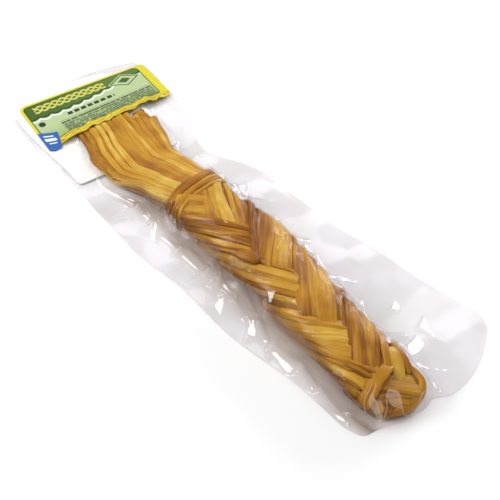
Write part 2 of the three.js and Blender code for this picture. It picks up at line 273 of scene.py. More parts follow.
def thinnedSheet(upper, lower, step):
    # Closed skin like closedSheet's, whose lower grid keeps one row and column in every step
    # inside its rim. Each cell's outline there goes through the points that are kept: four
    # inside, and the rim's own points too at the sides and corners. Returned with the numbers
    # of the points that are left.
    n, m = upper.shape[:2]
    points, faces = closedSheet(upper, lower)
    cells = (n - 1) * (m - 1)
    run, same = np.arange(step), np.full(step, step)
    cellI = step * np.arange((n - 1) // step)[:, None, None]
    cellJ = step * np.arange((m - 1) // step)[None, :, None]
    i = cellI + np.concatenate([run, same, step - run, 0 * run])
    j = cellJ + np.concatenate([0 * run, run, same, step - run])
    i, j = (values.reshape(-1, 4 * step) for values in np.broadcast_arrays(i, j))
    kept = (i % step == 0) & (j % step == 0)
    kept = kept | (i == 0) | (i == n - 1) | (j == 0) | (j == m - 1)
    ring = n * m + i * m + j
    count = kept.sum(1)
    parts = [np.vstack([faces[:cells], faces[2 * cells:]])]
    for size in np.unique(count):
        chosen = count == size
        parts.append(ring[chosen][kept[chosen]].reshape(-1, size)[:, ::-1])
    used = np.unique(np.concatenate([part.ravel() for part in parts]))
    number = np.zeros(len(points), int)
    number[used] = np.arange(len(used))
    return points[used], [number[part] for part in parts], used


def ringShape(sides, squareness):
    # Points round a superellipse of half size 1
    angle = 2 * np.pi * (np.arange(sides) + 0.5) / sides
    return flatWave(np.cos(angle), 2 / squareness), flatWave(np.sin(angle), 2 / squareness)


def endRounding(length, roundStart, roundEnd):
    # Share of the full section at each length along a string: a quarter circle at each end
    fromStart = np.clip(length / roundStart, 0, 1)
    fromEnd = np.clip((length[-1] - length) / roundEnd, 0, 1)
    return np.sqrt(1 - (1 - fromStart) ** 2) * np.sqrt(1 - (1 - fromEnd) ** 2) * 0.97 + 0.03


# Material helpers

def addNode(tree, kind, inputs=None, **settings):
    made = tree.nodes.new("ShaderNode" + kind)
    for key, value in settings.items():
        setattr(made, key, value)
    for key, value in (inputs or {}).items():
        if isinstance(value, bpy.types.NodeSocket):
            tree.links.new(value, made.inputs[key])
        else:
            made.inputs[key].default_value = value
    return made


def newMaterial(name):
    material = bpy.data.materials.new(name)
    material.use_nodes = True
    material.node_tree.nodes.clear()
    return material, material.node_tree


def finishMaterial(material, shader):
    addNode(material.node_tree, "OutputMaterial", {"Surface": shader.outputs[0]})
    return material


def attribute(tree, name, output="Fac"):
    return addNode(tree, "Attribute", attribute_name=name).outputs[output]


def objectPlace(tree):
    return addNode(tree, "TexCoord").outputs["Object"]


def bumped(tree, height, strength, distance):
    inputs = {"Height": height, "Strength": strength, "Distance": distance}
    return addNode(tree, "Bump", inputs).outputs["Normal"]


def maths(tree, operation, *values):
    # Operation on one value or two, and then on its result and each further value in turn
    result = addNode(tree, "Math", dict(enumerate(values[:2])), operation=operation).outputs[0]
    for value in values[2:]:
        result = addNode(tree, "Math", {0: result, 1: value}, operation=operation).outputs[0]
    return result


def plus(tree, *values):
    return maths(tree, "ADD", *values)


def minus(tree, *values):
    return maths(tree, "SUBTRACT", *values)


def times(tree, *values):
    return maths(tree, "MULTIPLY", *values)


def remap(tree, value, low, high, toLow=0.0, toHigh=1.0, kind="SMOOTHSTEP"):
    inputs = {"Value": value, "From Min": low, "From Max": high, "To Min": toLow, "To Max": toHigh}
    return addNode(tree, "MapRange", inputs, interpolation_type=kind).outputs["Result"]


def between(tree, value, low, high, edge):
    # Mask that is 1 between two values and fades out over the edge inside them
    return times(tree, remap(tree, value, low, low + edge), remap(tree, value, high, high - edge))


def mixColours(tree, share, first, second):
    inputs = {0: share, 6: first, 7: second}
    return addNode(tree, "Mix", inputs, data_type="RGBA").outputs[2]


def colourRamp(tree, value, colours):
    # Blends colours that are evenly spaced from 0 to 1
    made = addNode(tree, "ValToRGB", {"Fac": value})
    band = made.color_ramp
    while len(band.elements) < len(colours):
        band.elements.new(0.5)
    places = np.linspace(0, 1, len(colours)).tolist()
    for element, place, colour in zip(band.elements, places, colours):
        element.position = place
        element.color = colour
    return made.outputs["Color"]


def noise(tree, vector, scale, detail):
    inputs = {"Vector": vector, "Scale": scale, "Detail": detail, "Roughness": 0.55}
    return addNode(tree, "TexNoise", inputs).outputs["Fac"]


def stretched(tree, vector, factors):
    return addNode(tree, "Mapping", {"Vector": vector, "Scale": factors}).outputs["Vector"]


def srgb(red, green, blue):
    # Linear colour of a display colour given from 0 to 255
    value = np.array([red, green, blue]) / 255
    linear = np.where(value < 0.04045, value / 12.92, ((value + 0.055) / 1.055) ** 2.4)
    return (*linear.tolist(), 1.0)


# Cheese

cheeseLook = {
    "dark": srgb(124, 72, 16),
    "brown": srgb(157, 100, 22),
    "ochre": srgb(185, 132, 34),
    "golden": srgb(201, 154, 50),
    "pale": srgb(217, 183, 86),
    # painted shade: the dark brown laid in the creases and along the strings' edges
    "paintedShade": srgb(110, 64, 16),
    "lines": 0.15,          # how strongly fine dark and pale lines show along the fibres
    "border": 0.42,         # how strongly painted shade darkens a string's edges
    "roughness": (0.34, 0.52),
}


def makeCheeseMaterial(name, shift):
    # Colour runs from brown to pale yellow with the string's own tone, long streaks along its
    # fibres and smoky patches, and painted shade turns it dark brown down in the creases
    look = cheeseLook
    material, tree = newMaterial(name)
    fibre = attribute(tree, "fibre", "Vector")
    streaks = noise(tree, stretched(tree, fibre, (0.55, 0.55, 0.045)), 1.0, 4.0)
    fine = noise(tree, stretched(tree, fibre, (2.6, 2.6, 0.16)), 1.0, 3.0)
    patches = noise(tree, objectPlace(tree), 48.0, 2.0)
    value = plus(tree, attribute(tree, "tone"), shift)
    for source, weight in ((streaks, 0.75), (fine, 0.2), (patches, 0.9)):
        value = plus(tree, value, times(tree, minus(tree, source, 0.5), weight))
    inks = ("dark", "brown", "ochre", "golden", "pale")
    colour = colourRamp(tree, value, [look[ink] for ink in inks])
    lines = noise(tree, stretched(tree, fibre, (0.95, 0.95, 0.035)), 1.0, 2.0)
    for low, high, ink in ((0.44, 0.34, look["dark"]), (0.58, 0.68, look["pale"])):
        colour = mixColours(tree, remap(tree, lines, low, high, 0.0, look["lines"]), colour, ink)
    # Painted shade: dark brown in the creases, growing with their depth below the outer form
    shadeInCreases = plus(tree, attribute(tree, "paintedShade"), times(tree, minus(tree, streaks, 0.5), 0.5))
    shadeInCreases = remap(tree, shadeInCreases, 0.05, 0.95, 0.0, 0.9)
    colour = mixColours(tree, shadeInCreases, colour, look["paintedShade"])
    # Painted shade darkens a string's two edges here and there along it
    wander = noise(tree, stretched(tree, fibre, (0.02, 0.02, 0.09)), 1.0, 2.0)
    border = times(tree, remap(tree, attribute(tree, "edge"), 0.8, 0.97),
                   remap(tree, wander, 0.42, 0.6, 0.0, look["border"]))
    colour = mixColours(tree, border, colour, look["paintedShade"])
    height = plus(tree, times(tree, streaks, 0.4), times(tree, fine, 0.2), times(tree, lines, 0.6))
    shader = addNode(tree, "BsdfPrincipled", {
        "Base Color": colour, "Roughness": remap(tree, fine, 0.3, 0.7, *look["roughness"]),
        "Normal": bumped(tree, height, 0.8, 0.0012), "Subsurface Weight": 0.18,
        "Subsurface Radius": (1.0, 0.55, 0.22), "Subsurface Scale": 0.0025, "IOR": 1.45,
        "Specular IOR Level": 0.35})
    return finishMaterial(material, shader)


cheeseMaterial = makeCheeseMaterial("cheese strings", 0.0)
tieMaterial = makeCheeseMaterial("tie strings", 0.04)


# Plait

plait = {
    "turnLength": 22,       # from one crossing to the next
    "seam": -5,             # the crossings lie this far to the left of the top middle
    "seamBottom": 3,
    "tuck": 9,              # a string's ends run on by this under the next strand
    "tuckDepth": 5.5,
    "from": -14,            # strings are made between these ends
    "to": 160,
    "girth": 2.89,          # half the section's girth, for a mean half size of 1
    "stringHeight": 5.0,
    "ridge": 0.5,           # how far a string's back stands above its edges
    "groove": 0.3,          # depth of the shallow grooves along a string's back
    "crown": 1.3,           # how far a strand's middle stands above its edges
    "lead": 0.8,            # how far its first string stands above the strand it crosses
    "uneven": 0.6,          # how much the strings' heights differ
    "fan": 2.4,             # how far they stray sideways half way round the food
    "lap": (1.25, 1.8),     # strings are wider than their share, so that they lap
    "lastSlant": 0.6,       # of the strand that would cross the last turn
    "fewest": 12,           # a string with fewer points left of its line isn't made
    "steps": 110,
    "sides": 26,
    "seed": 5,
}

# Each strand's turn over the food: side it comes over (-1 left, 1 right), how far round the food
# a string runs for each length along it, X at which its first string crosses the seam, widths
# of its strings in turn, and their tones
turns = [
    (1, 0.5, -39, [6, 5, 6, 4, 6], [0.5, 0.4, 0.55, 0.45, 0.6]),
    (-1, 0.5, -17, [5, 4, 6, 5, 7, 5], [0.5, 0.42, 0.6, 0.36, 0.5, 0.55]),
    (1, 0.44, 5, [7, 9, 11, 6, 8], [0.44, 0.66, 0.95, 0.62, 0.36]),
    (-1, 0.47, 27, [6, 4, 9, 3, 10, 5, 8, 4], [0.3, 0.02, 0.2, 0.36, 0.14, 0.36, 0.56, 0.4]),
    (1, 0.62, 49, [5, 8, 4, 10, 5, 3], [0.1, 0.24, 0.5, 0.72, 0.5, 0.4]),
    (-1, 0.54, 71, [4, 9, 3, 8, 3, 7, 3], [0.5, 0.66, 0.4, 0.66, 0.26, 0.74, 0.98]),
    (1, 0.6, 93, [9, 5, 2, 10, 3, 6], [0.26, 0.5, 0.06, 0.62, 0.16, 0.36]),
    (-1, 0.78, 115, [6, 3, 8, 3, 9, 3, 5], [0.58, 0.46, 0.7, 0.46, 0.62, 0.36, 0.3]),
    (1, 0.6, 137, [3, 6, 3, 8, 3, 5, 6], [0.16, 0.32, 0.14, 0.38, 0.22, 0.36, 0.28]),
    (-1, 0.55, 151, [3.5, 3.5, 6, 3, 5, 4, 4], [0.36, 0.3, 0.72, 0.3, 0.62, 0.45, 0.75]),
]


def outlineAngle(place):
    # Angle of the section's superellipse for a distance round it from the top middle, as a
    # share of half its girth. It is read off a table made on the food's usual section.
    angle = np.linspace(-np.pi, np.pi, 1441)
    power = 2 / sectionPower(np.cos(angle) < 0)
    usualHalf = [20, 14.3]
    run = runLength(np.column_stack([flatWave(np.sin(angle), power),
                                     flatWave(np.cos(angle), power)]) * usualHalf)
    return np.interp(place, 2 * run / run[-1] - 1, angle)


def onOutline(x, share):
    # Point and outward direction of the outer form at x, a share of half the girth round from
    # the top middle, positive to the right
    centre, a, middle, b = envelope(x)
    angle = outlineAngle((share + 1) % 2 - 1)
    n = sectionPower(np.cos(angle) < 0)
    u, v = flatWave(np.sin(angle), 2 / n), flatWave(np.cos(angle), 2 / n)
    outY = flatWave(u, n - 1) / a
    outZ = flatWave(v, n - 1) / b
    size = np.hypot(outY, outZ)
    return (stacked(x, centre + a * u, middle + b * v),
            stacked(0 * x, outY / size, outZ / size))


def pressedTube(bundle, spine, outward, width, stand, tone, rng):
    # Flattened string along a spine that lies on the outer form, sunk under it by half its
    # height, raised by stand, and pressed inside the form with a crown across its back
    height = plait["stringHeight"]
    across, over = ringShape(plait["sides"], 3.4)
    side = unit(np.cross(outward, np.gradient(spine, axis=0)))
    length = runLength(spine)
    full = endRounding(length, 3.0, 3.0)[:, None]
    halfWidth = 0.5 * width[:, None] * full
    halfHeight = 0.5 * height * full
    out = over * halfHeight - 0.5 * height + np.minimum(stand, 0)[:, None]
    rings = (spine[:, None] + (across * halfWidth)[..., None] * side[:, None]
             + out[..., None] * outward[:, None])
    proud = plait["ridge"] * (0.4 - np.abs(across) ** 2.4) + stand[:, None]
    waves = across * rng.uniform(3, 7) + (length / 13 + rng.uniform(0, 6.3))[:, None]
    proud = proud + plait["groove"] * np.sin(waves) * (1 - across ** 2)
    rings = fitInside(rings[..., 0], rings[..., 1], rings[..., 2], proud)
    along = length[:, None] + rng.uniform(0, 500)
    addTube(bundle, rings, stacked(across * halfWidth, over * halfHeight, along), tone)


def turnStrings(turn, crossed, other, rng):
    # One strand's turn: strings side by side from the seam beneath, round one side of the
    # food, to the seam on top. On the unrolled surface they are straight slanting lines, and
    # each ends where the next turn's first string, with its own slant, crosses it (at
    # "crossed" on the seam), tucked in beneath.
    side, slant, first, widths, tones = turn
    bundle = newBundle()
    span = 2 * plait["turnLength"]
    widths = np.array(widths, float) * span / sum(widths)
    starts = first + np.cumsum(widths) - 0.5 * widths
    for width, start, tone in zip(widths, starts, tones):
        # A long line over the food at first, of which the part between the seams is kept
        reach = slant * other / (slant + other) * (crossed - start)
        x = start + reach / slant + np.linspace(-125, 24, 400)
        _, a, _, b = envelope(x)
        halfGirth = plait["girth"] * np.sqrt(a * b)
        run = (x - start) * slant
        beneath = run + halfGirth
        keep = (run < reach + plait["tuck"]) & (beneath > reach - plait["tuck"])
        keep &= (x > plait["from"]) & (x < plait["to"])
        wave = rng.uniform(0, 2 * np.pi, 4)
        fan, lap, high = rng.uniform(-1, 1, 3)
        if keep.sum() < plait["fewest"]:
            continue
        even = np.linspace(x[keep][0], x[keep][-1], plait["steps"])
        run, beneath, halfGirth = (np.interp(even, x, values)
                                   for values in (run, beneath, halfGirth))
        bend = 0.5 * np.sin(run / 9 + wave[0]) + 0.25 * np.sin(run / 4.3 + wave[1])
        bend = bend + plait["fan"] * fan * np.sin(np.pi * np.clip(beneath / halfGirth, 0, 1))
        seam = mix(plait["seamBottom"], plait["seam"], smooth(0, 1, beneath / halfGirth))
        spine, outward = onOutline(even, (side * (bend - run) + seam) / halfGirth)
        top = smooth(-1.5, plait["tuck"] - 1, run - reach)
        under = smooth(1.5, 1 - plait["tuck"], beneath - reach)
        across = 2 * (start - first) / span - 1
        stand = plait["crown"] * (0.6 - across ** 2) + plait["lead"] * smooth(9, 0, start - first)
        stand = stand * (1 - top) - plait["tuckDepth"] * np.maximum(top, under)
        stand = stand + plait["uneven"] * (high + 0.7 * np.sin(run / 8 + wave[2]))
        swell = mix(*plait["lap"], 0.5 + 0.5 * lap) + 0.22 * np.sin(run / 8 + wave[3])
        width = width * np.sin(np.arctan(slant)) * swell
        pressedTube(bundle, spine, outward, width, stand, tone + 0.05 * fan, rng)
    return bundle


core = {
    "from": -112,
    "to": 157,
    "fill": 0.84,       # share of the outer form's width and height
    "tone": 0.3,
    "steps": 150,
    "sides": 48,
}


def coreOfFood():
    # The outer form shrunk, which shows only down between the strands
    x = np.linspace(core["from"], core["to"], core["steps"])[:, None]
    u, v = sectionPoint(2 * np.pi * np.arange(core["sides"]) / core["sides"])
    centre, a, middle, b = envelope(x)
    y = centre + a * core["fill"] * u
    z = np.maximum(middle + b * core["fill"] * v, floorUnder(x))
    rings = stacked(x, y, z)
    bundle = newBundle()
    addTube(bundle, rings, rings[..., [1, 2, 0]], core["tone"])
    return bundle


# Tassel

tassel = {
    "stations": [-8, -30, -50, -70, -90, -108, -124],
    "height": 4.6,
    "taper": 0.72,       # the ends are pressed flatter by this
    "ridge": 0.9,
    "steps": 130,
    "sides": 16,
    # Each string: where it starts and ends along X, its width, its tone and its place across
    # the tassel at the stations, from -1 at the left side to 1 at the right side
    "strings": [
        (-62, -124, 6.6, 0.30, [-1, -1, -0.99, -0.97, -0.95, -0.92, -0.90]),
        (-68, -124, 4.2, 0.42, [-0.9, -0.9, -0.9, -0.88, -0.83, -0.77, -0.74]),
        (-6, -124, 5.6, 0.72, [-0.60, -0.66, -0.74, -0.74, -0.69, -0.63, -0.58]),
        (-6, -124, 5.2, 0.80, [-0.40, -0.52, -0.56, -0.53, -0.48, -0.45, -0.42]),
        (-6, -124, 5.8, 0.86, [-0.24, -0.36, -0.40, -0.33, -0.29, -0.27, -0.25]),
        (-6, -124, 6.2, 0.36, [-0.06, -0.18, -0.19, -0.12, -0.12, -0.12, -0.11]),
        (-6, -124, 5.2, 0.46, [0.10, 0.02, 0.02, 0.05, 0.04, 0.03, 0.03]),
        (-6, -124, 5.0, 0.56, [0.26, 0.22, 0.21, 0.20, 0.18, 0.15, 0.15]),
        (-6, -124, 4.2, 0.82, [0.44, 0.42, 0.40, 0.35, 0.30, 0.26, 0.26]),
        (-6, -124, 5.6, 0.58, [0.62, 0.61, 0.57, 0.50, 0.44, 0.40, 0.40]),
        (-6, -113, 4.4, 0.50, [0.78, 0.76, 0.72, 0.65, 0.60, 0.57, 0.57]),
        (-44, -110, 3.8, 0.40, [0.86, 0.84, 0.82, 0.78, 0.74, 0.72, 0.72]),
        (-6, -107, 4.6, 0.78, [0.92, 0.92, 0.91, 0.88, 0.86, 0.87, 0.88]),
        (-6, -76, 6.0, 0.66, [-0.76, -0.84, -0.90, -0.95, -0.97, -0.97, -0.97]),
        (-6, -80, 7.0, 0.80, [-0.92, -0.98, -1.00, -1.01, -1.02, -1.02, -1.02]),
        (-6, -96, 5.4, 0.45, [-1.06, -1.08, -1.08, -1.06, -1.05, -1.05, -1.05]),
        (-6, -108, 5.4, 0.48, [1.02, 1.02, 1.02, 1.00, 1.00, 1.00, 1.00]),
    ],
    "below": 8,          # plain strings along the underside
    "seed": 21,
}


def onForm(x, place):
    # Point of the section's outline at a place across it, and the outline's direction there.
    # Past -1 or 1 the place goes on round to the underside.
    centre, a, middle, b = envelope(x)

    def outline(at):
        beyond = np.abs(at) > 1
        side = np.where(beyond, np.sign(at) * (2 - np.abs(at)), at)
        power = sectionPower(beyond)
        arch = np.clip(1 - np.abs(side) ** power, 0, 1) ** (1 / power)
        return centre + side * a, middle + np.where(beyond, -b, b) * arch

    y, z = outline(place)
    nextY, nextZ = outline(place + 0.02)
    lastY, lastZ = outline(place - 0.02)
    alongY, alongZ = nextY - lastY, nextZ - lastZ
    size = np.hypot(alongY, alongZ)
    return y, z, alongY / size, alongZ / size


def surfaceString(bundle, x, place, width, height, tone, rng):
    # String that lies flat on the outer form along x, at a place across it, half sunk in
    across, over = ringShape(tassel["sides"], 2.5)
    y, z, alongY, alongZ = onForm(x, place)
    length = runLength(np.column_stack([x, y, z]))
    full = endRounding(length, 4.0, 3.0)
    slope = np.hypot(1, np.gradient(y, x))
    halfWidth = (0.5 * width * slope * full)[:, None]
    halfHeight = (0.5 * height * full)[:, None]
    out = over * halfHeight - 0.5 * height
    ringY = y[:, None] + across * halfWidth * alongY[:, None] - out * alongZ[:, None]
    ringZ = z[:, None] + across * halfWidth * alongZ[:, None] + out * alongY[:, None]
    proud = tassel["ridge"] * (0.4 - np.abs(across) ** 2.4)
    rings = fitInside(x[:, None] + 0 * ringY, ringY, ringZ, proud)
    along = length[:, None] + rng.uniform(0, 500)
    addTube(bundle, rings, stacked(across * halfWidth, over * halfHeight, along), tone)


def tasselStrings():
    rng = np.random.default_rng(tassel["seed"])
    bundle = newBundle()
    rows = list(tassel["strings"])
    for n in range(tassel["below"]):
        # Places past 1 and, from the underside's middle on, past -1
        place = 1.2 + 1.6 * n / (tassel["below"] - 1)
        place = place if place < 2 else place - 4
        rows.append((-6, -120 - 3 * np.sin(5 * n), 6.4, 0.35 + 0.3 * (n % 2), [place] * 7))
    for start, end, width, tone, places in rows:
        x = np.linspace(start, end, tassel["steps"])
        place = curveAt(tassel["stations"][::-1], places[::-1], x)
        wave = rng.uniform(0, 2 * np.pi, 2)
        place = place + 0.01 * np.sin(x / 12 + wave[0]) + 0.004 * np.sin(x / 4.7 + wave[1])
        flat = mix(1, tassel["taper"], smooth(-30, -110, x))
        width = width * (1 + 0.1 * np.sin(x / 11 + wave[1]))
        surfaceString(bundle, x, place, width, tassel["height"] * flat.mean(), tone, rng)
    return bundle


# Tie

tie = {
    "neck": -17,         # X of the neck
    "neckRadius": 17,    # mean radius, for the run of the fibres
    "lean": 0.26,        # the wraps lean along X by this share of the neck's half width
    # Each wrap: how far along the neck, width, height above the neck, tone, wander
    "wraps": [
        (-1.4, 7.4, 2.7, 0.24, 0.35), (4.5, 4.0, 2.5, 0.52, 0.35),
        (7.8, 3.8, 2.4, 0.40, 0.55), (11.0, 3.8, 2.2, 0.58, 0.5),
    ],
    "thick": 4.4,
    "steps": 260,
    "sides": 18,
    "seed": 9,
}


def tieStrings():
    # Wraps of string round the neck: each is a closed ring that leans along X from left to
    # right, with a small wander of its own
    rng = np.random.default_rng(tie["seed"])
    across, over = ringShape(tie["sides"], 2.7)
    angle = 2 * np.pi * np.arange(tie["steps"])[:, None] / tie["steps"]
    u, v = sectionPoint(angle)
    bundle = newBundle()
    neckHalf = envelope(np.array(float(tie["neck"])))[1]
    for along, width, height, tone, wander in tie["wraps"]:
        wave = rng.uniform(0, 2 * np.pi, 3)
        drift = wander * (np.sin(2 * angle + wave[0]) + 0.5 * np.sin(5 * angle + wave[1]))
        beads = 0.12 * np.sin(31 * angle + wave[2]) + 0.08 * np.sin(47 * angle)
        halfWidth = 0.5 * width * (1 + 0.1 * np.sin(3 * angle + wave[1])) + beads
        x = (tie["neck"] + along + drift + across * halfWidth
             - tie["lean"] * neckHalf * np.cos(angle))
        centre, a, middle, b = envelope(x)
        level = height - 0.5 * tie["thick"] * (1 - over) - 1.4 - 0.5 * np.abs(across) ** 3
        y = centre + u * (a + level)
        z = np.maximum(middle + v * (b + level), foodForm["bottom"])
        run = angle * tie["neckRadius"] + rng.uniform(0, 500)
        fibre = stacked(across * halfWidth, over * 0.5 * tie["thick"], run)
        addTube(bundle, stacked(x, y, z), fibre, tone, endless=True)
    return bundle


# Loop end and single strings

# Each string: points of its middle line, width, height, tone, and how level it lies, from 0 for
# flat on the food's outer form to 1 for level
loopLines = {
    "bed": ([(148, -13, 11), (158, -12.5, 9), (168, -11.5, 6.6), (174, -10.5, 5.6)],
            27, 8.4, 0.1, 1),
    "rim": ([(146, 3, 10.6), (154, 2.6, 11.2), (162.3, 2.2, 11), (166.4, 3, 10.4),
             (170.6, 2.8, 9.6), (173.6, 0.8, 8.8), (175.4, -2.2, 8), (176.2, -6.5, 7),
             (176, -11.5, 6), (174, -17, 5.2), (171, -21.6, 4.8), (166, -25.2, 4.8),
             (156, -27.5, 5)], 6.0, 8.2, 0.32, 1),
    "rimUnder": ([(146, 1.6, 5.6), (160, 4, 5.4), (169.6, 2.4, 5), (174.4, -2.6, 4.6),
                  (176, -9.5, 4.4), (174.4, -16.2, 4.4), (170.2, -22, 4.6), (162, -26.2, 4.8),
                  (146, -27.6, 5)], 6.2, 6.4, 0.05, 1),
    "farSide": ([(134, 4.6, 9.6), (148, 5.2, 9.4), (159, 4.4, 9), (168, 2, 8.4)],
                11, 5.0, 0.3, 0),
    # A very dark string inside the rim, laid in as painted shade over the eye's right end
    "rimDark": ([(160, 0, 13), (165, 0.4, 12.4), (169.4, -0.4, 11.6), (172, -3.4, 11),
                 (173, -7.4, 10.4), (172.6, -11, 9.4)], 5.0, 4.4, 0.0, 1),
    "eyeSheet": ([(155, -22, 15.2), (160.5, -15.5, 16), (165.5, -8.6, 14.8), (170, -2, 12.2),
                  (172.4, 1.6, 10.4)], 15, 3.4, 0.3, 1),
    "eyeTop": ([(149, -19, 15.4), (156.4, -10.6, 16), (161.4, -5.4, 14.8), (167, -0.4, 11.6)],
               8.2, 4.6, 0.3, 1),
    "eyeFar": ([(152, -23.5, 15), (158, -16, 16), (162, -9.8, 15), (165.8, -4, 13.4),
                (170, 1.6, 10.4)], 8.4, 4.4, 0.38, 1),
    "eye": ([(155.6, -26, 14), (161.4, -18.5, 15.2), (165.4, -12.2, 14.4), (169.2, -6.4, 12.8),
             (173.6, -0.2, 9.6)], 8.4, 4.4, 0.42, 1),
    "eyeNear": ([(161, -24.4, 12.4), (164.4, -19, 13.4), (168.6, -13.4, 12.8), (172, -8, 11.4),
                 (175.8, -2.4, 8.6)], 7.8, 4.4, 0.34, 1),
    "eyeLow": ([(165.6, -22.6, 9.6), (168.4, -18, 11), (171.8, -14, 10.8), (175.6, -8.2, 8.6)],
               6.6, 4.4, 0.4, 1),
    "olive": ([(158, -21, 12.6), (162.6, -23, 12), (167.6, -24.4, 9.6), (171, -24.6, 6.6)],
              6.6, 4.0, 0.8, 0.6),
    "sideLow": ([(140, -28.8, 12.4), (150, -30, 11.4), (158, -29.6, 9.8), (164, -28, 7.6)],
                5.0, 4.6, 0.8, 0),
    "paleSide": ([(146, 3.6, 17.6), (154, 3, 17.4), (160.6, 1.4, 16), (165.6, -0.8, 13.6)],
                 5.2, 4.4, 0.34, 0),
    "palePatch": ([(148.6, -2, 20.8), (152.4, -2.6, 21.4), (157.3, -4, 20.2), (162.4, -5.8, 18),
                   (167.4, -8.2, 15)], 7.4, 2.6, 0.8, 0),
    "paleEdge": ([(149, 0.6, 19.6), (154.4, 0.4, 19.2), (160, -1.4, 17.8), (165, -4, 15.4)],
                 3.0, 3.0, 0.62, 0),
    "strap": ([(152.4, -4.6, 15.5), (155.2, -9, 19.2), (157.4, -13.4, 21), (158.8, -18.4, 20.2),
               (160.6, -24.4, 18), (162.2, -29, 14.4), (163.2, -31.8, 9.6)],
              11.0, 3.0, 0.46, 0),
}

looseLines = {
    "stub": ([(51.5, -27.2, 27.4), (55.6, -25.8, 28.4), (59.6, -24.4, 29), (65.4, -22.7, 28.8)],
             7.0, 4.6, 0.22, 0.1),
    "stubEnd": ([(50.9, -27.4, 27.2), (51.4, -27.2, 27.3), (51.9, -27.1, 27.5)],
                6.4, 4.0, -0.6, 0.1),
}

loopParts = {
    "lines": loopLines,
    "roundEnds": (2.5, 2.5),    # lengths over which a string's start and end are rounded
    "pointed": {"palePatch": (2.5, 13), "paleEdge": (2.5, 13)},
    "steps": 90,
    "sides": 18,
    "seed": 31,
}

looseParts = {
    "lines": looseLines,
    "roundEnds": (0.4, 7),
    "pointed": {},
    "steps": 70,
    "sides": 18,
    "seed": 41,
}


def freeString(bundle, line, steps, sides, roundEnds, rng):
    # Flattened string along a curve through a few points, its flat side facing away from the
    # food's middle, or level
    points, width, height, tone, level = line
    spine = curveThrough(points, steps)
    ahead = unit(np.gradient(spine, axis=0))
    centre, a, middle, b = envelope(spine[:, 0])
    outward = unit(stacked(0, (spine[:, 1] - centre) / a ** 2,
                           (spine[:, 2] - middle + 0.6 * b) / b ** 2))
    left = unit(np.cross(mix(outward, np.array([0.0, 0.0, 1.0]), level), ahead))
    up = np.cross(ahead, left)
    length = runLength(spine)
    full = endRounding(length, *roundEnds)[:, None, None]
    across, over = (values[None, :, None] for values in ringShape(sides, 2.6))
    swell = 1 + 0.06 * np.sin(length / 5 + rng.uniform(0, 6))[:, None, None]
    rings = (spine[:, None] + across * 0.5 * width * full * swell * left[:, None]
             + over * 0.5 * height * full * up[:, None])
    rings[..., 2] = np.maximum(rings[..., 2], foodForm["bottom"])
    along = length[:, None] + rng.uniform(0, 500)
    fibre = stacked(across[..., 0] * 0.5 * width, over[..., 0] * 0.5 * height, along)
    addTube(bundle, rings, fibre, tone)


def freeStrings(parts):
    # One string along each of the parts' lines
    rng = np.random.default_rng(parts["seed"])
    bundle = newBundle()
    for key, line in parts["lines"].items():
        roundEnds = parts["pointed"].get(key, parts["roundEnds"])
        freeString(bundle, line, parts["steps"], parts["sides"], roundEnds, rng)
    return bundle


# Bag outline, card and label

bag = {
    "halfLength": 184,
    "meanWidth": 126,
    "farEdgeBow": 11,
    "left": -63.5,
    "right": 43,
    "drift": 0.115,
    "leftWave": 1.2,     # height of the left edge's wave
    "flare": 4,          # how far the right edge goes out towards each end
    "drawnLeft": 9,      # the near edge is drawn in by this at the left, twice at the corner
    "drawnRight": 24,    # and by this at the right corner
    "pinchX": -58,
    "pinchDepth": 17,
    "pinchFar": 38,      # width of the pinch towards the label end and towards the loop end
    "pinchNear": 24,
    # Where the near edge is drawn in: how far, and the middle and width across the bag
    "pulls": [(3.4, -0.11, 0.1), (3.8, -0.38, 0.3), (2.5, -0.6, 0.15)],
}


def bagDrift(x):
    # Both edges turn to the right past the middle
    return bag["drift"] * 0.5 * (x + np.sqrt(x * x + 900))


def bagLeftEdge(x):
    return bag["left"] + bagDrift(x) + bag["leftWave"] * np.sin(x / 19)


def bagRightEdge(x):
    flare = bag["flare"] * (smooth(-130, -175, x) + smooth(90, 165, x))
    width = np.where(x < bag["pinchX"], bag["pinchFar"], bag["pinchNear"])
    pinch = bag["pinchDepth"] * bell(x, bag["pinchX"], width)
    return bag["right"] + bagDrift(x) + flare - pinch


def bagPlan(s, t):
    # Plan of the bag: s runs from the label end to the loop end, t from -1 on the left edge to
    # 1 on the right edge
    def along(side):
        # Near edge: drawn in on both sides of the loop, with rounded corners
        left = bag["drawnLeft"] * (smooth(-0.5, -0.85, side) + np.abs(side) ** 20)
        pull = sum(depth * bell(side, middle, width) for depth, middle, width in bag["pulls"])
        near = pull + np.where(side > 0, bag["drawnRight"] * np.abs(side) ** 2.3, left)
        far = -bag["halfLength"] + bag["farEdgeBow"] * side * side
        return mix(far, bag["halfLength"] - near, s)

    middleX = along(np.zeros_like(t))
    y = mix(bagLeftEdge(middleX), bagRightEdge(middleX), 0.5 + 0.5 * t)
    return along(t), y


card = {
    "thick": 0.5,
    "base": 1.1,
    "nearX": (-79.5, -75.5),   # near edge at the left and right
    "rightY": (24, 15.5),      # right edge at the far and near end
    "margin": 2.5,             # from the bag's far and left edges
    "halfWidth": 40,           # about, for the rounding of its corners
    "corner": 3.5,
}


def cardSheets():
    # Card inside the bag: its far and left edges follow the bag's, the others are straight,
    # with rounded corners
    s = np.linspace(0, 1, 90)[:, None]
    t = np.linspace(-1, 1, 110)[None, :]
    far = -bag["halfLength"] + bag["farEdgeBow"] * t * t + card["margin"]
    inset = cornerInset((1 - np.abs(t)) * card["halfWidth"], card["corner"])
    share = 0.5 + 0.5 * t
    x = mix(far + inset, mix(*card["nearX"], share) - inset, s)
    y = mix(bagLeftEdge(x) + card["margin"], mix(*card["rightY"], s), share)
    return stacked(x, y, card["base"] + card["thick"]), stacked(x, y, card["base"])


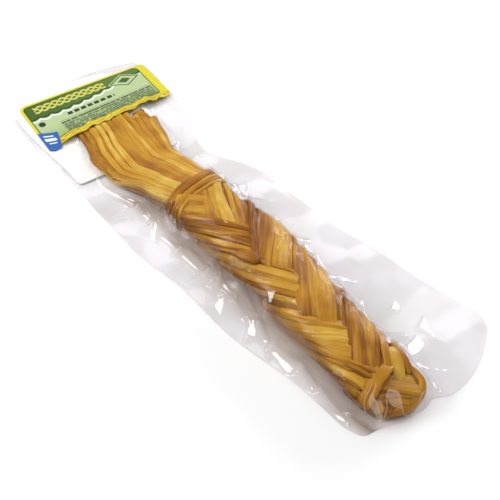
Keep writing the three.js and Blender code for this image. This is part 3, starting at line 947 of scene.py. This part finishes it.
label = {
    "farLeft": (-175, -55),
    "farRight": (-168, 45),
    "nearRight": (-123, 42.4),
    "nearLeft": (-121, -59),
    "base": 2.2,
    "thick": 0.3,
    "lift": 3.4,       # the near edge rides up over the tassel
    "corner": 5,
    "across": 100,     # printed width and depth
    "deep": 50,
    "tabReach": 2.6,
}


def labelSheets():
    # Label: a four-cornered sheet with rounded corners whose near edge is wavy over the
    # tassel's ends. Returned with its printed place in millimetres.
    s = np.linspace(0, 1, 130)[:, None]
    t = np.linspace(0, 1, 240)[None, :]
    inset = cornerInset(np.minimum(t, 1 - t) * label["across"], label["corner"]) / label["deep"]
    s = mix(inset, 1 - inset * smooth(0.5, 1, t), s)
    tab = label["tabReach"] * smooth(-0.01, 0.04, t) * smooth(0.1, 0.075, t)
    wavy = smooth(0.55, 1, s) * smooth(0.2, 0.3, t) * smooth(1, 0.9, t)
    edge = wavy * (0.7 * np.sin(t * 31) + 0.5 * np.sin(t * 67 + 1))
    farX, farY, nearX, nearY = (
        mix(left, right, t) for end in ("far", "near")
        for left, right in zip(label[end + "Left"], label[end + "Right"]))
    x = mix(farX, nearX + tab, s) + edge
    y = mix(farY, nearY, s)
    lift = label["lift"] * smooth(0.6, 0.93, s) * smooth(0.02, 0.22, t) * smooth(0.98, 0.8, t)
    ripple = wavy * (0.35 * np.sin(t * 44 + 6 * s) + 0.25 * np.sin(t * 83 - 9 * s))
    z = label["base"] + lift + ripple
    printed = stacked(t * label["across"], s * label["deep"] + tab * s, 0)
    return stacked(x, y, z + label["thick"]), stacked(x, y, z), printed


def makeCardMaterial():
    # Creamy white board with a faint fibre in its bump
    material, tree = newMaterial("white card")
    fibres = noise(tree, stretched(tree, objectPlace(tree), (900, 300, 900)), 1.0, 4.0)
    colour = mixColours(tree, remap(tree, fibres, 0.3, 0.7), srgb(238, 236, 228),
                        srgb(250, 249, 244))
    shader = addNode(tree, "BsdfPrincipled", {"Base Color": colour, "Roughness": 0.55,
                                              "Normal": bumped(tree, fibres, 0.25, 0.0002)})
    return finishMaterial(material, shader)


labelPrint = {
    "yellow": srgb(213, 206, 46),
    "orange": srgb(188, 138, 40),
    "line": srgb(36, 54, 30),
    "band": srgb(62, 98, 34),
    "bandLight": srgb(88, 118, 50),
    "panel": srgb(178, 198, 146),
    "panelNear": srgb(154, 176, 116),
    "print": srgb(40, 60, 34),
    "ornament": srgb(206, 202, 96),
    "badge": srgb(44, 98, 172),
    "white": srgb(226, 232, 228),
    # Places are in millimetres, across and down the print from its far left corner, and a
    # wave has its angle for each millimetre across and its height
    "wrinkleShade": (42, 46),        # depths at which the painted shade of the near border's wrinkles starts and is full
    "panelBox": ((1.7, 1.8), (94, 44.5)),
    "outline": 0.7,              # width of the dark line round the panel
    "bandEdge": 16.4,            # depth of the band's near edge at its left end
    "bandDraw": 0.06,            # how much shallower it gets for each millimetre across
    "bandWave": (0.045, 3.0),
    "scallops": (0.36, 1.8),
    "plaitEnds": (8.0, 64.0),
    "plaitMiddle": 8.6,
    "plaitWave": (0.36, 3.0),
    "lozenge": ((79.0, 12.0), (13.5, 8.5)),    # its middle and its half sizes
    "barsBox": ((27, 22.4), (65, 25.4)),
    "rowsBox": ((19, 28.4), (92, 43.6)),
    "rowPitch": 2.9,             # of the rows of short dashes
    "dotBox": ((4.5, 22.0), (9.5, 27.0)),
    "badgeTop": 31.0,            # its slanting edges' lines meet the left and the far side here
    "badgeSide": 21.5,
    "badgeBars": [((2.0, 3.4), (8.4, 4.8)), ((1.6, 6.6), (8.8, 9.8)), ((2.6, 11.6), (7.6, 12.8))],
}


def distance(tree, value, middle):
    return maths(tree, "ABSOLUTE", minus(tree, value, middle))


def softBox(tree, u, v, low, high, corner):
    # Mask that is 1 inside a rounded box: its distance is the length of the part of
    # |p - middle| - (half - corner) above zero, less the corner
    edge = 0.12
    parts = []
    for value, start, end in zip((u, v), low, high):
        away = distance(tree, value, 0.5 * (end + start))
        over = maths(tree, "MAXIMUM", minus(tree, away, 0.5 * (end - start) - corner), 0.0)
        parts.append(times(tree, over, over))
    reach = maths(tree, "SQRT", plus(tree, *parts))
    return remap(tree, reach, corner + edge, corner - edge)


def makeLabelMaterial():
    # Printed paper: a yellow field, a panel with a dark outline, a green band with a plait
    # ornament, a lozenge, rows of short dashes and a blue badge
    look = labelPrint
    material, tree = newMaterial("label print")
    printed = attribute(tree, "printed", "Vector")
    u, v = addNode(tree, "SeparateXYZ", {0: printed}).outputs[:2]
    # Painted shade of the wrinkles in the near border, in orange
    grain = noise(tree, stretched(tree, printed, (0.22, 0.9, 1.0)), 1.0, 3.0)
    wrinkleShade = times(tree, remap(tree, v, *look["wrinkleShade"]), remap(tree, grain, 0.46, 0.58))
    colour = mixColours(tree, wrinkleShade, look["yellow"], look["orange"])
    low, high = look["panelBox"]
    colour = mixColours(tree, softBox(tree, u, v, low, high, 4.0), colour, look["line"])
    outline = look["outline"]
    inner = softBox(tree, u, v, [n + outline for n in low], [n - outline for n in high], 3.4)
    panel = mixColours(tree, remap(tree, v, 26, 45), look["panel"], look["panelNear"])
    # The band's near edge is a slow wave with scallops, and the band narrows to the right
    pace, height = look["bandWave"]
    wave = times(tree, maths(tree, "SINE", times(tree, u, pace)), height)
    pace, height = look["scallops"]
    scallop = distance(tree, maths(tree, "SINE", times(tree, u, pace)), 0.0)
    edge = minus(tree, plus(tree, wave, look["bandEdge"]), times(tree, u, look["bandDraw"]))
    edge = plus(tree, edge, times(tree, scallop, height))
    below = minus(tree, v, edge)
    bandTone = mixColours(tree, remap(tree, u, 0, 70), look["band"], look["bandLight"])
    panel = mixColours(tree, remap(tree, below, 0.2, -0.2), panel, bandTone)
    panel = mixColours(tree, between(tree, below, 0.6, 2.4, 0.2), panel, look["white"])
    panel = mixColours(tree, between(tree, below, -1.9, -0.6, 0.2), panel, look["line"])
    # Plait ornament: three sine lines a third of a turn apart
    pace, height = look["plaitWave"]
    within = between(tree, u, *look["plaitEnds"], 0.4)
    for turn in range(3):
        angle = plus(tree, times(tree, u, pace), turn * 2.094)
        line = times(tree, maths(tree, "SINE", angle), height)
        away = distance(tree, minus(tree, v, look["plaitMiddle"]), line)
        mask = times(tree, remap(tree, away, 1.0, 0.8), within)
        panel = mixColours(tree, mask, panel, look["ornament"])
    # Lozenge with a ring and a middle
    reach = plus(tree, *(maths(tree, "DIVIDE", distance(tree, value, middle), half)
                         for value, middle, half in zip((u, v), *look["lozenge"])))
    panel = mixColours(tree, remap(tree, reach, 1.02, 0.98), panel, look["panel"])
    panel = mixColours(tree, between(tree, reach, 0.74, 0.9, 0.04), panel, look["line"])
    panel = mixColours(tree, remap(tree, reach, 0.42, 0.38), panel, look["band"])
    # Row of bold bars, rows of short dashes
    bars = between(tree, maths(tree, "FRACT", times(tree, u, 0.19)), 0.16, 0.92, 0.04)
    bars = times(tree, bars, softBox(tree, u, v, *look["barsBox"], 1.0))
    panel = mixColours(tree, bars, panel, look["line"])
    row = maths(tree, "DIVIDE", v, look["rowPitch"])
    rowShift = times(tree, maths(tree, "FLOOR", row), 7.3)
    dashPlace = addNode(tree, "CombineXYZ", {0: times(tree, u, 0.55), 1: rowShift}).outputs[0]
    dashes = remap(tree, noise(tree, dashPlace, 1.0, 1.0), 0.38, 0.42)
    rows = between(tree, maths(tree, "FRACT", row), 0.24, 0.94, 0.06)
    field = softBox(tree, u, v, *look["rowsBox"], 0.5)
    panel = mixColours(tree, times(tree, dashes, rows, field, 0.9), panel, look["print"])
    dot = softBox(tree, u, v, *look["dotBox"], 2.49)
    panel = mixColours(tree, dot, panel, look["line"])
    colour = mixColours(tree, inner, colour, panel)
    # Badge over the corner: its top edge slants and it narrows to the near edge
    badgeTop = minus(tree, v, look["badgeTop"], times(tree, u, 0.5))
    badgeSide = minus(tree, look["badgeSide"], u, times(tree, v, 0.24))
    badge = times(tree, remap(tree, badgeTop, -0.15, 0.15), remap(tree, badgeSide, -0.15, 0.15))
    colour = mixColours(tree, badge, colour, look["badge"])
    for low, high in look["badgeBars"]:
        bar = softBox(tree, u, badgeTop, low, high, 0.6)
        colour = mixColours(tree, bar, colour, look["white"])
    grain = bumped(tree, noise(tree, printed, 2.2, 3.0), 0.2, 0.0003)
    shader = addNode(tree, "BsdfPrincipled", {"Base Color": colour, "Roughness": 0.38,
                                              "Normal": grain})
    return finishMaterial(material, shader)


# Film

film = {
    "rows": 439,            # one more than a multiple of underStep, and so are the columns
    "columns": 196,
    "underStep": 3,         # the lower film keeps one row and column in so many
    "clearance": 0.35,
    "rasterStep": 1.0,      # grid on which the heights of the contents are gathered
    "rasterHalf": (190, 80),
    "press": 0.30,          # how hard the air presses the film down, per millimetre
    "passes": 780,
    "edge": 0.35,           # thickness of the welded edge
    "flangeWave": 1.6,      # height of the free flange's waves above and below their mean
    "flangeReach": 30,      # they are full this far from the food
    "cornerFrom": 0.86,     # the corners are cut off from this share of the half width
    "cornerCut": 0.055,     # by this share of the length at the label end
    "crestWidth": 0.7,      # of the ridges
    "facetEdge": 2.0,       # width over which the film bends round a facet's edge
    "pleat": 1.5,           # height of the pleats that run along beside the food
    "shadow": 0.4,          # share of the film's own shadow that is kept
    "touchShine": 0.16,     # share of the gloss that is left where the film touches the food
    "mirrorColour": srgb(250, 249, 250),
    # warm white of the folds: partly the doubled film's milkiness and partly painted sheen
    "hazeAndSheenColour": srgb(255, 236, 214),
    # tint of the painted shadow and doubled folds close beside the food
    "shadowAndFoldsTint": srgb(188, 171, 158),
    "cloudTint": srgb(249, 248, 248),   # of soft grey patches on the free film
    "seed": 77,
}

# Where the film stands up as a ridge: side, X at the food, X and distance at the outer end,
# share of the food's height at the food
filmRidges = [
    (-1, -34, -40, 24, 0.55), (-1, -12, -20, 20, 0.7), (-1, 12, 8, 14, 0.6),
    (-1, 42, 34, 21, 0.85), (-1, 44, 52, 19, 0.85), (-1, 66, 62, 17, 0.7),
    (-1, 84, 88, 20, 0.7), (-1, 104, 100, 15, 0.6), (-1, 122, 126, 18, 0.7),
    (-1, 143, 139, 15, 0.6), (-1, 158, 170, 16, 0.6), (-1, 172, 182, 14, 0.6),
    (1, -52, -58, 16, 0.6), (1, -30, -32, 15, 0.7), (1, -4, -14, 22, 0.85),
    (1, 2, 10, 24, 0.85), (1, 26, 22, 14, 0.7), (1, 46, 50, 17, 0.7),
    (1, 68, 62, 15, 0.65), (1, 88, 94, 22, 0.7), (1, 112, 106, 16, 0.7),
    (1, 130, 140, 20, 0.7), (1, 146, 152, 26, 0.75), (1, 160, 172, 20, 0.7),
]

# Flat facets that the film is creased into: the light that each one mirrors, and its corners
# in plan
filmFacets = [
    ("left box", [(47, -34), (62, -41), (55, -44)]),
    ("left box", [(58, -50), (56, -45), (59, -42), (65, -50)]),
    ("left box", [(78, -41), (82, -39), (90, -44), (86, -46)]),
    ("left box", [(81, -30), (87, -28), (91, -33), (88, -35)]),
    ("left box", [(-11, -49), (-16, -40), (-8, -47)]),
    ("back box", [(-14, 16), (-10, 24), (-4, 14)]),
    ("back box", [(26, 18), (31, 21), (42, 19), (43, 17)]),
    ("back box", [(82, 15), (88, 19), (91, 26), (85, 22)]),
    ("back box", [(121, 30), (118, 36), (121, 38), (123, 33)]),
    ("back box", [(141, 33), (137, 42), (150, 35)]),
    ("back box", [(153, 11), (147, 18), (144, 29), (150, 28), (154, 20), (155, 12)]),
]


def heightsOfContents(clouds):
    # Highest point of the contents over each cell of a plan grid, spread by one cell
    step = film["rasterStep"]
    half = np.array(film["rasterHalf"])
    shape = (2 * half / step).astype(int)
    heights = np.zeros(shape)
    for points in clouds:
        cells = np.clip(((points[:, :2] + half) / step).astype(int), 0, shape - 1)
        np.maximum.at(heights, tuple(cells.T), points[:, 2])
    spread = heights.copy()
    for di, dj in ((1, 0), (-1, 0), (0, 1), (0, -1)):
        spread = np.maximum(spread, np.roll(heights, (di, dj), (0, 1)))
    return spread


def readHeights(heights, x, y):
    # Heights between the cells' middles, blended from the four around
    i, j = (np.clip((value + half) / film["rasterStep"] - 0.5, 0, count - 2.001)
            for value, half, count in zip((x, y), film["rasterHalf"], heights.shape))
    i0, j0 = i.astype(int), j.astype(int)
    low = mix(heights[i0, j0], heights[i0 + 1, j0], i - i0)
    high = mix(heights[i0, j0 + 1], heights[i0 + 1, j0 + 1], i - i0)
    return mix(low, high, j - j0)


def flangeWave(x, y):
    # The free flange waves gently away from the card
    room = smooth(-70, -45, x)
    centre, a, _, _ = envelope(x)
    away = np.clip((np.abs(y - centre) - a) / film["flangeReach"], 0, 1)
    wave = 1 + np.sin(x / 13 + 1.7 * np.sign(y - centre))
    return film["flangeWave"] * room * away * wave


def settle(stops, press, passes):
    # Each point moves to the mean of its four neighbours less the press, never below its stop
    z = stops
    for _ in range(passes):
        mean = z.copy()
        mean[1:-1, 1:-1] = 0.25 * (z[:-2, 1:-1] + z[2:, 1:-1] + z[1:-1, :-2] + z[1:-1, 2:])
        z = np.maximum(stops, mean - press)
    return z


def outsideBy(x, y, corners):
    # How far points lie outside a convex outline, as the largest distance past its sides, and
    # the outline's middle
    middle = corners.mean(0)
    ahead = unit(np.roll(corners, -1, axis=0) - corners)
    normal = np.column_stack([ahead[:, 1], -ahead[:, 0]])
    normal = normal * np.sign(np.einsum("ij,ij->i", normal, corners - middle))[:, None]
    away = [(x - corner[0]) * n[0] + (y - corner[1]) * n[1] for corner, n in zip(corners, normal)]
    return np.max(away, axis=0), middle


def mirrorNormal(place, light):
    # Direction half way between those to the studio's camera and to a light
    place = (np.array(place, float) - [0, bagOffCentre, 0]) * millimetre
    return unit(np.array([studio["cameraPlace"], light]) - place).sum(0)


def raiseRidges(stops, least, x, y):
    # Holds the film up along each ridge, in a narrow crest that falls away from the food
    for side, footX, endX, reach, share in filmRidges:
        centre, a, middle, b = envelope(np.array(float(footX)))
        start = np.array([footX, centre + side * 0.8 * a])
        run = np.array([endX, centre + side * (a + reach)]) - start
        place = ((x - start[0]) * run[0] + (y - start[1]) * run[1]) / (run @ run)
        along = np.clip(place, 0, 1)
        away = np.hypot(x - start[0] - along * run[0], y - start[1] - along * run[1])
        crest = share * (middle + b) * (1 - along) ** 1.25
        crest = crest * bell(away, 0, film["crestWidth"]) * (along > 0)
        stops = np.maximum(stops, least + crest)
    return stops


def layFacets(z, solid, x, y):
    # The film inside each facet's outline is laid flat at its mean height, or as high as what
    # lies under it, turned to mirror the light
    for light, corners in filmFacets:
        away, middle = outsideBy(x, y, np.array(corners, float))
        inside = away < 0
        normal = mirrorNormal((*middle, z[inside].mean()), studio[light][0])
        slope = (normal[0] * (x - middle[0]) + normal[1] * (y - middle[1])) / normal[2]
        level = max((z + slope)[inside].mean(), (solid + slope)[inside].max())
        plane = np.maximum(solid, level - slope)
        z = mix(z, plane, smooth(film["facetEdge"], -0.2, away))
    return z


def pleatsBeside(x, y):
    # Height share of the pleats beside the food, and how strongly painted shadow and overlapping
    # folds darken the film there, in streaks along it: fully on the left side, a quarter on the
    # right
    centre, a, _, _ = envelope(x)
    beside = np.abs(y - centre) - a
    side = np.sign(y - centre)
    phase = beside * 0.62 + 1.4 * np.sin(x / 21 + side) + 0.8 * np.sin(x / 9.0)
    pleat = (1 - np.abs(np.sin(phase))) ** 1.6
    zone = bell(beside, 6, 5.5) * (0.5 + 0.5 * np.sin(x / 15 + 2 * side)) * smooth(-62, -40, x)
    # Painted shadow close beside the food, with the doubled film of its folds
    foldsWithPaintedLight = smooth(10, 1.5, beside) * smooth(-3, 1.5, beside) * smooth(-60, -38, x)
    return pleat * zone, foldsWithPaintedLight * (0.55 + 0.45 * pleat) * np.where(side < 0, 1, 0.25)


def filmSheets(clouds):
    # Upper and lower film. The upper one is a stretched skin: each point lies at the mean of
    # its neighbours less the press of the air, but never below the contents or a ridge.
    # Returned with the values that the material reads at each point.
    rng = np.random.default_rng(film["seed"])
    s = np.linspace(0, 1, film["rows"])[:, None]
    t = np.linspace(-1, 1, film["columns"])[None, :]
    out = (np.abs(t) - film["cornerFrom"]) / (1 - film["cornerFrom"])
    corner = film["cornerCut"] * np.clip(out, 0, 1) ** 3
    s = mix(corner, 1 - 0.3 * corner, s)
    x, y = bagPlan(s, t)
    lower = flangeWave(x, y)
    least = lower + film["edge"]
    contents = readHeights(heightsOfContents(clouds), x, y)
    covered = contents > 0.5
    solid = np.maximum(least, np.where(covered, contents + film["clearance"], 0))
    stops = raiseRidges(solid, least, x, y)
    cell = (2 * bag["halfLength"] / (film["rows"] - 1)
            * bag["meanWidth"] / (film["columns"] - 1))
    patchy = sum(np.sin(x * kx + y * ky + phase) for kx, ky, phase in zip(
        rng.uniform(-0.25, 0.25, 8), rng.uniform(-0.25, 0.25, 8), rng.uniform(0, 6.3, 8)))
    press = film["press"] * (1 + 0.16 * patchy) * cell / 4
    z = layFacets(settle(stops, press, film["passes"]), solid, x, y)
    pleat, foldsWithPaintedLight = pleatsBeside(x, y)
    z = z + film["pleat"] * pleat
    inner = smooth(0, 0.012, s) * smooth(1, 0.992, s) * smooth(1, 0.975, np.abs(t))
    z = mix(least, z, inner)
    touch = np.where(covered, smooth(1.6, 0.3, z - contents), 0)
    marks = {key: np.append(values, np.zeros(values.size))
             for key, values in (("touch", touch), ("foldsWithPaintedLight", foldsWithPaintedLight))}
    return stacked(x, y, z), stacked(x, y, lower), marks


def makeFilmMaterial(name, least, tint, shine):
    # Clear film: light goes straight through with a slight tint, and the rest is a mirror
    # gloss, or a warm white haze that is partly painted sheen, whose share grows from the least
    # with the fourth power of how far the film turns away
    material, tree = newMaterial(name)
    place = objectPlace(tree)
    normal = bumped(tree, noise(tree, place, 60.0, 1.0), 0.15, 0.001)
    touch = attribute(tree, "touch")
    clouded = remap(tree, noise(tree, place, 26.0, 2.0), 0.4, 0.58)
    clouded = times(tree, clouded, minus(tree, 1.0, touch))
    through = mixColours(tree, clouded, tint, film["cloudTint"])
    # Painted shadow and doubled folds beside the food darken the tint
    through = mixColours(tree, attribute(tree, "foldsWithPaintedLight"), through, film["shadowAndFoldsTint"])
    clear = addNode(tree, "BsdfTransparent", {"Color": through})
    gloss = addNode(tree, "BsdfPrincipled", {
        "Base Color": film["mirrorColour"] if shine else film["hazeAndSheenColour"],
        "Metallic": shine, "Roughness": 0.09, "IOR": 1.5, "Normal": normal})
    turned = addNode(tree, "LayerWeight", {"Blend": 0.5, "Normal": normal})
    rim = maths(tree, "POWER", turned.outputs["Facing"], 4.0)
    share = remap(tree, rim, 0.0, 1.0, least, 1.0, kind="LINEAR")
    # Film that lies right on the food or the card has no air under it and shines less
    touched = remap(tree, touch, 0.0, 1.0, 1.0, film["touchShine"])
    shadowRay = addNode(tree, "LightPath").outputs["Is Shadow Ray"]
    kept = minus(tree, 1.0, times(tree, shadowRay, 1 - film["shadow"]))
    share = times(tree, share, touched, kept)
    shader = addNode(tree, "MixShader", {0: share, 1: clear.outputs[0], 2: gloss.outputs[0]})
    return finishMaterial(material, shader)


filmFolds = {
    # Each fold: points along it (X and Y), and its width. It lies on the film.
    "lines": [
        ([(177.7, 0.4), (177.8, -3.3), (179.4, -6), (179.8, -10.7), (178.4, -15.6),
          (176.8, -16.3), (172.2, -14.7), (169.6, -16), (168.3, -18.3), (169.4, -20.9),
          (171.6, -22.1), (173.5, -23.9), (175, -26.8)], 0.7),
        ([(161.7, -21.7), (164.3, -24.9), (165.6, -27.5), (168.8, -27.6), (172.7, -27.3),
          (175.2, -27)], 0.7),
        ([(176.6, -17), (174.4, -19.6), (172, -20.4), (169.6, -19.4)], 0.6),
        ([(160.6, -23), (162.6, -27), (164, -31), (167, -33.4), (170, -33)], 0.5),
        ([(34, 9.4), (42, 11.6), (50, 12), (58, 10.4), (64, 7.8)], 0.45),
        ([(84, 6.6), (96, 5.6), (108, 5), (122, 3.6), (134, 3.4), (142, 2)], 0.45),
    ],
    # Each flap of doubled film spans two lines
    "flaps": [
        ([(176.8, -16.3), (172.2, -14.7), (169.6, -16), (168.3, -18.3)],
         [(176.6, -17), (174.4, -19.6), (172, -20.4), (169.4, -20.9)]),
        ([(165.2, -26.6), (167, -27.6), (171, -27.5), (175.2, -27)],
         [(164.8, -28), (166.4, -30.6), (169, -31), (174.6, -29)]),
    ],
    "height": 0.5,
    "above": 0.3,               # how far a fold's middle line lies above the film
    "spread": 11,               # number of points along a fold that its height is averaged over
    "flapGaps": (0.45, 0.25),   # how far a flap's two faces lie above the film
}


def foldsOnFilm(heights):
    # Doubled creases, which are thin flat tubes that follow the film's height, and flaps,
    # which are thin sheets. The film's material reads neither their fibre nor their tone.
    bundle = newBundle()
    across, over = (values[None, :, None] for values in ringShape(10, 2.0))
    spread = filmFolds["spread"]
    for line, width in filmFolds["lines"]:
        plan = curveThrough(line, 160)
        z = readHeights(heights, plan[:, 0], plan[:, 1]) + filmFolds["above"]
        z = np.convolve(np.pad(z, spread // 2, mode="edge"), np.ones(spread) / spread, "valid")
        spine = np.column_stack([plan, z])
        ahead = np.gradient(spine, axis=0)
        left = unit(stacked(-ahead[:, 1], ahead[:, 0], 0))
        up = unit(np.cross(ahead, left))
        full = endRounding(runLength(spine), 6, 6)[:, None, None]
        rings = (spine[:, None] + across * 0.5 * width * full * left[:, None]
                 + over * 0.5 * filmFolds["height"] * full * up[:, None])
        addTube(bundle, rings, rings, 0.5)
    for lines in filmFolds["flaps"]:
        first, second = (curveThrough(line, 60)[:, None] for line in lines)
        plan = mix(first, second, np.linspace(0, 1, 16)[None, :, None])
        z = readHeights(heights, plan[..., 0], plan[..., 1])
        upper, lower = (np.dstack([plan, z + gap]) for gap in filmFolds["flapGaps"])
        points, faces = closedSheet(upper, lower)
        bundle["points"].append(points)
        bundle["quads"].append(faces + bundle["count"])
        bundle["count"] += len(points)
    return bundle


# Stage

studio = {
    "cameraPlace": (0.33338, -0.23493, 0.40406),
    "cameraDown": 47.0,      # degrees below level
    "cameraTurn": 52.78,     # degrees from +Y towards -X
    "lens": 64.8,
    "sensor": 36.0,
    # Each light: place, size, power and whether it shows in gloss
    "top box": ((0.15, 0.05, 1.7), (2.6, 2.6), 30, False),
    "left box": ((-0.62, -0.75, 0.75), (0.6, 0.5), 8.5, True),
    "back box": ((-0.35, 1.2, 0.5), (0.8, 0.35), 8.5, True),
    "far strip": ((-0.87, 0.66, 1.17), (1.3, 0.3), 1.5, True),
    "air": 0.2,              # strength of the even white light from all round
    "floorReach": 3.0,
}


def makeStage():
    material, tree = newMaterial("pale floor")
    patches = noise(tree, objectPlace(tree), 3.0, 2.0)
    tint = mixColours(tree, patches, srgb(237, 237, 238), srgb(240, 240, 240))
    shader = addNode(tree, "BsdfPrincipled", {"Base Color": tint, "Roughness": 0.85})
    mesh = bpy.data.meshes.new("floor")
    reach = studio["floorReach"]
    mesh.from_pydata([(-reach, -reach, 0), (reach, -reach, 0), (reach, reach, 0),
                      (-reach, reach, 0)], [], [(0, 1, 2, 3)])
    mesh.materials.append(finishMaterial(material, shader))
    floor = linkedObject("floor", mesh)


def addLight(name):
    # Area light that faces the origin
    place, size, power, inGloss = studio[name]
    lamp = bpy.data.lights.new(name, "AREA")
    lamp.shape = "RECTANGLE"
    lamp.size, lamp.size_y = size
    lamp.energy = power
    holder = linkedObject(name, lamp)
    holder.location = place
    holder.rotation_euler = (-Vector(place)).to_track_quat("-Z", "Y").to_euler()
    holder.visible_glossy = inGloss


def makeLights():
    world = bpy.data.worlds.new("studio air")
    world.use_nodes = True
    background = world.node_tree.nodes["Background"]
    background.inputs["Color"].default_value = (1, 1, 1, 1)
    background.inputs["Strength"].default_value = studio["air"]
    bpy.context.scene.world = world
    for name in ("top box", "left box", "back box", "far strip"):
        addLight(name)


def makeCamera():
    lens = bpy.data.cameras.new("camera")
    lens.lens = studio["lens"]
    lens.sensor_width = studio["sensor"]
    lens.clip_start = 0.01
    eye = linkedObject("camera", lens)
    eye.location = studio["cameraPlace"]
    angles = (90 - studio["cameraDown"], 0, studio["cameraTurn"])
    eye.rotation_euler = Euler(np.radians(angles).tolist())
    bpy.context.scene.camera = eye


makeCamera()
makeLights()
makeStage()
bpy.context.scene.view_settings.view_transform = "Standard"
print("stage ready")

# The points that the film has to clear
clouds = []
rng = np.random.default_rng(plait["seed"])
crossings = [turn[2] for turn in turns[1:]] + [turns[-1][2] + plait["turnLength"]]
nextSlants = [turn[1] for turn in turns[1:]] + [plait["lastSlant"]]
for number, (turn, crossed, other) in enumerate(zip(turns, crossings, nextSlants), 1):
    bundle = turnStrings(turn, crossed, other, rng)
    clouds += bundle["points"]
    makeCheese(f"strandTurn{number}", bundle, ["braid"])
makeCheese("core", coreOfFood(), ["braid"])
for name, bundle, dark in (("tasselStrings", tasselStrings(), (1.9, 6.4)),
                           ("loopStrings", freeStrings(loopParts), (6.5, 10.5)),
                           ("looseStrings", freeStrings(looseParts), (0.9, 3.8))):
    clouds += bundle["points"]
    makeCheese(name, bundle, ["braid"], dark=dark)
bundle = tieStrings()
clouds += bundle["points"]
makeCheese("tieWraps", bundle, ["neck_band"], "tie_cheese", tieMaterial)
print("cheese ready")

upper, lower = cardSheets()
clouds.append(upper.reshape(-1, 3))
points, faces = closedSheet(upper, lower)
makePiece("cardBoard", points, [faces], makeCardMaterial(), "white_card", ["card"])
upper, lower, printed = labelSheets()
clouds.append(upper.reshape(-1, 3))
points, faces = closedSheet(upper, lower)
printed = np.vstack([printed.reshape(-1, 3)] * 2)
makePiece("printedLabel", points, [faces], makeLabelMaterial(), "label_print", ["label"],
          {"printed": printed})
print("card and label ready")

upper, lower, marks = filmSheets(clouds)
points, faces, used = thinnedSheet(upper, lower, film["underStep"])
makePiece("filmBag", points, faces,
          makeFilmMaterial("clear film", 0.06, srgb(252, 251, 252), 1.0), "clear_film", ["bag"],
          {key: values[used] for key, values in marks.items()})
# Folds of doubled film, whose warm white haze is partly painted sheen
bundle = foldsOnFilm(heightsOfContents([upper.reshape(-1, 3)]))
makePiece("filmFolds", *bundleShape(bundle),
          makeFilmMaterial("folded film", 0.12, srgb(252, 250, 250), 0.0), "clear_film", ["bag"])
print("film ready")
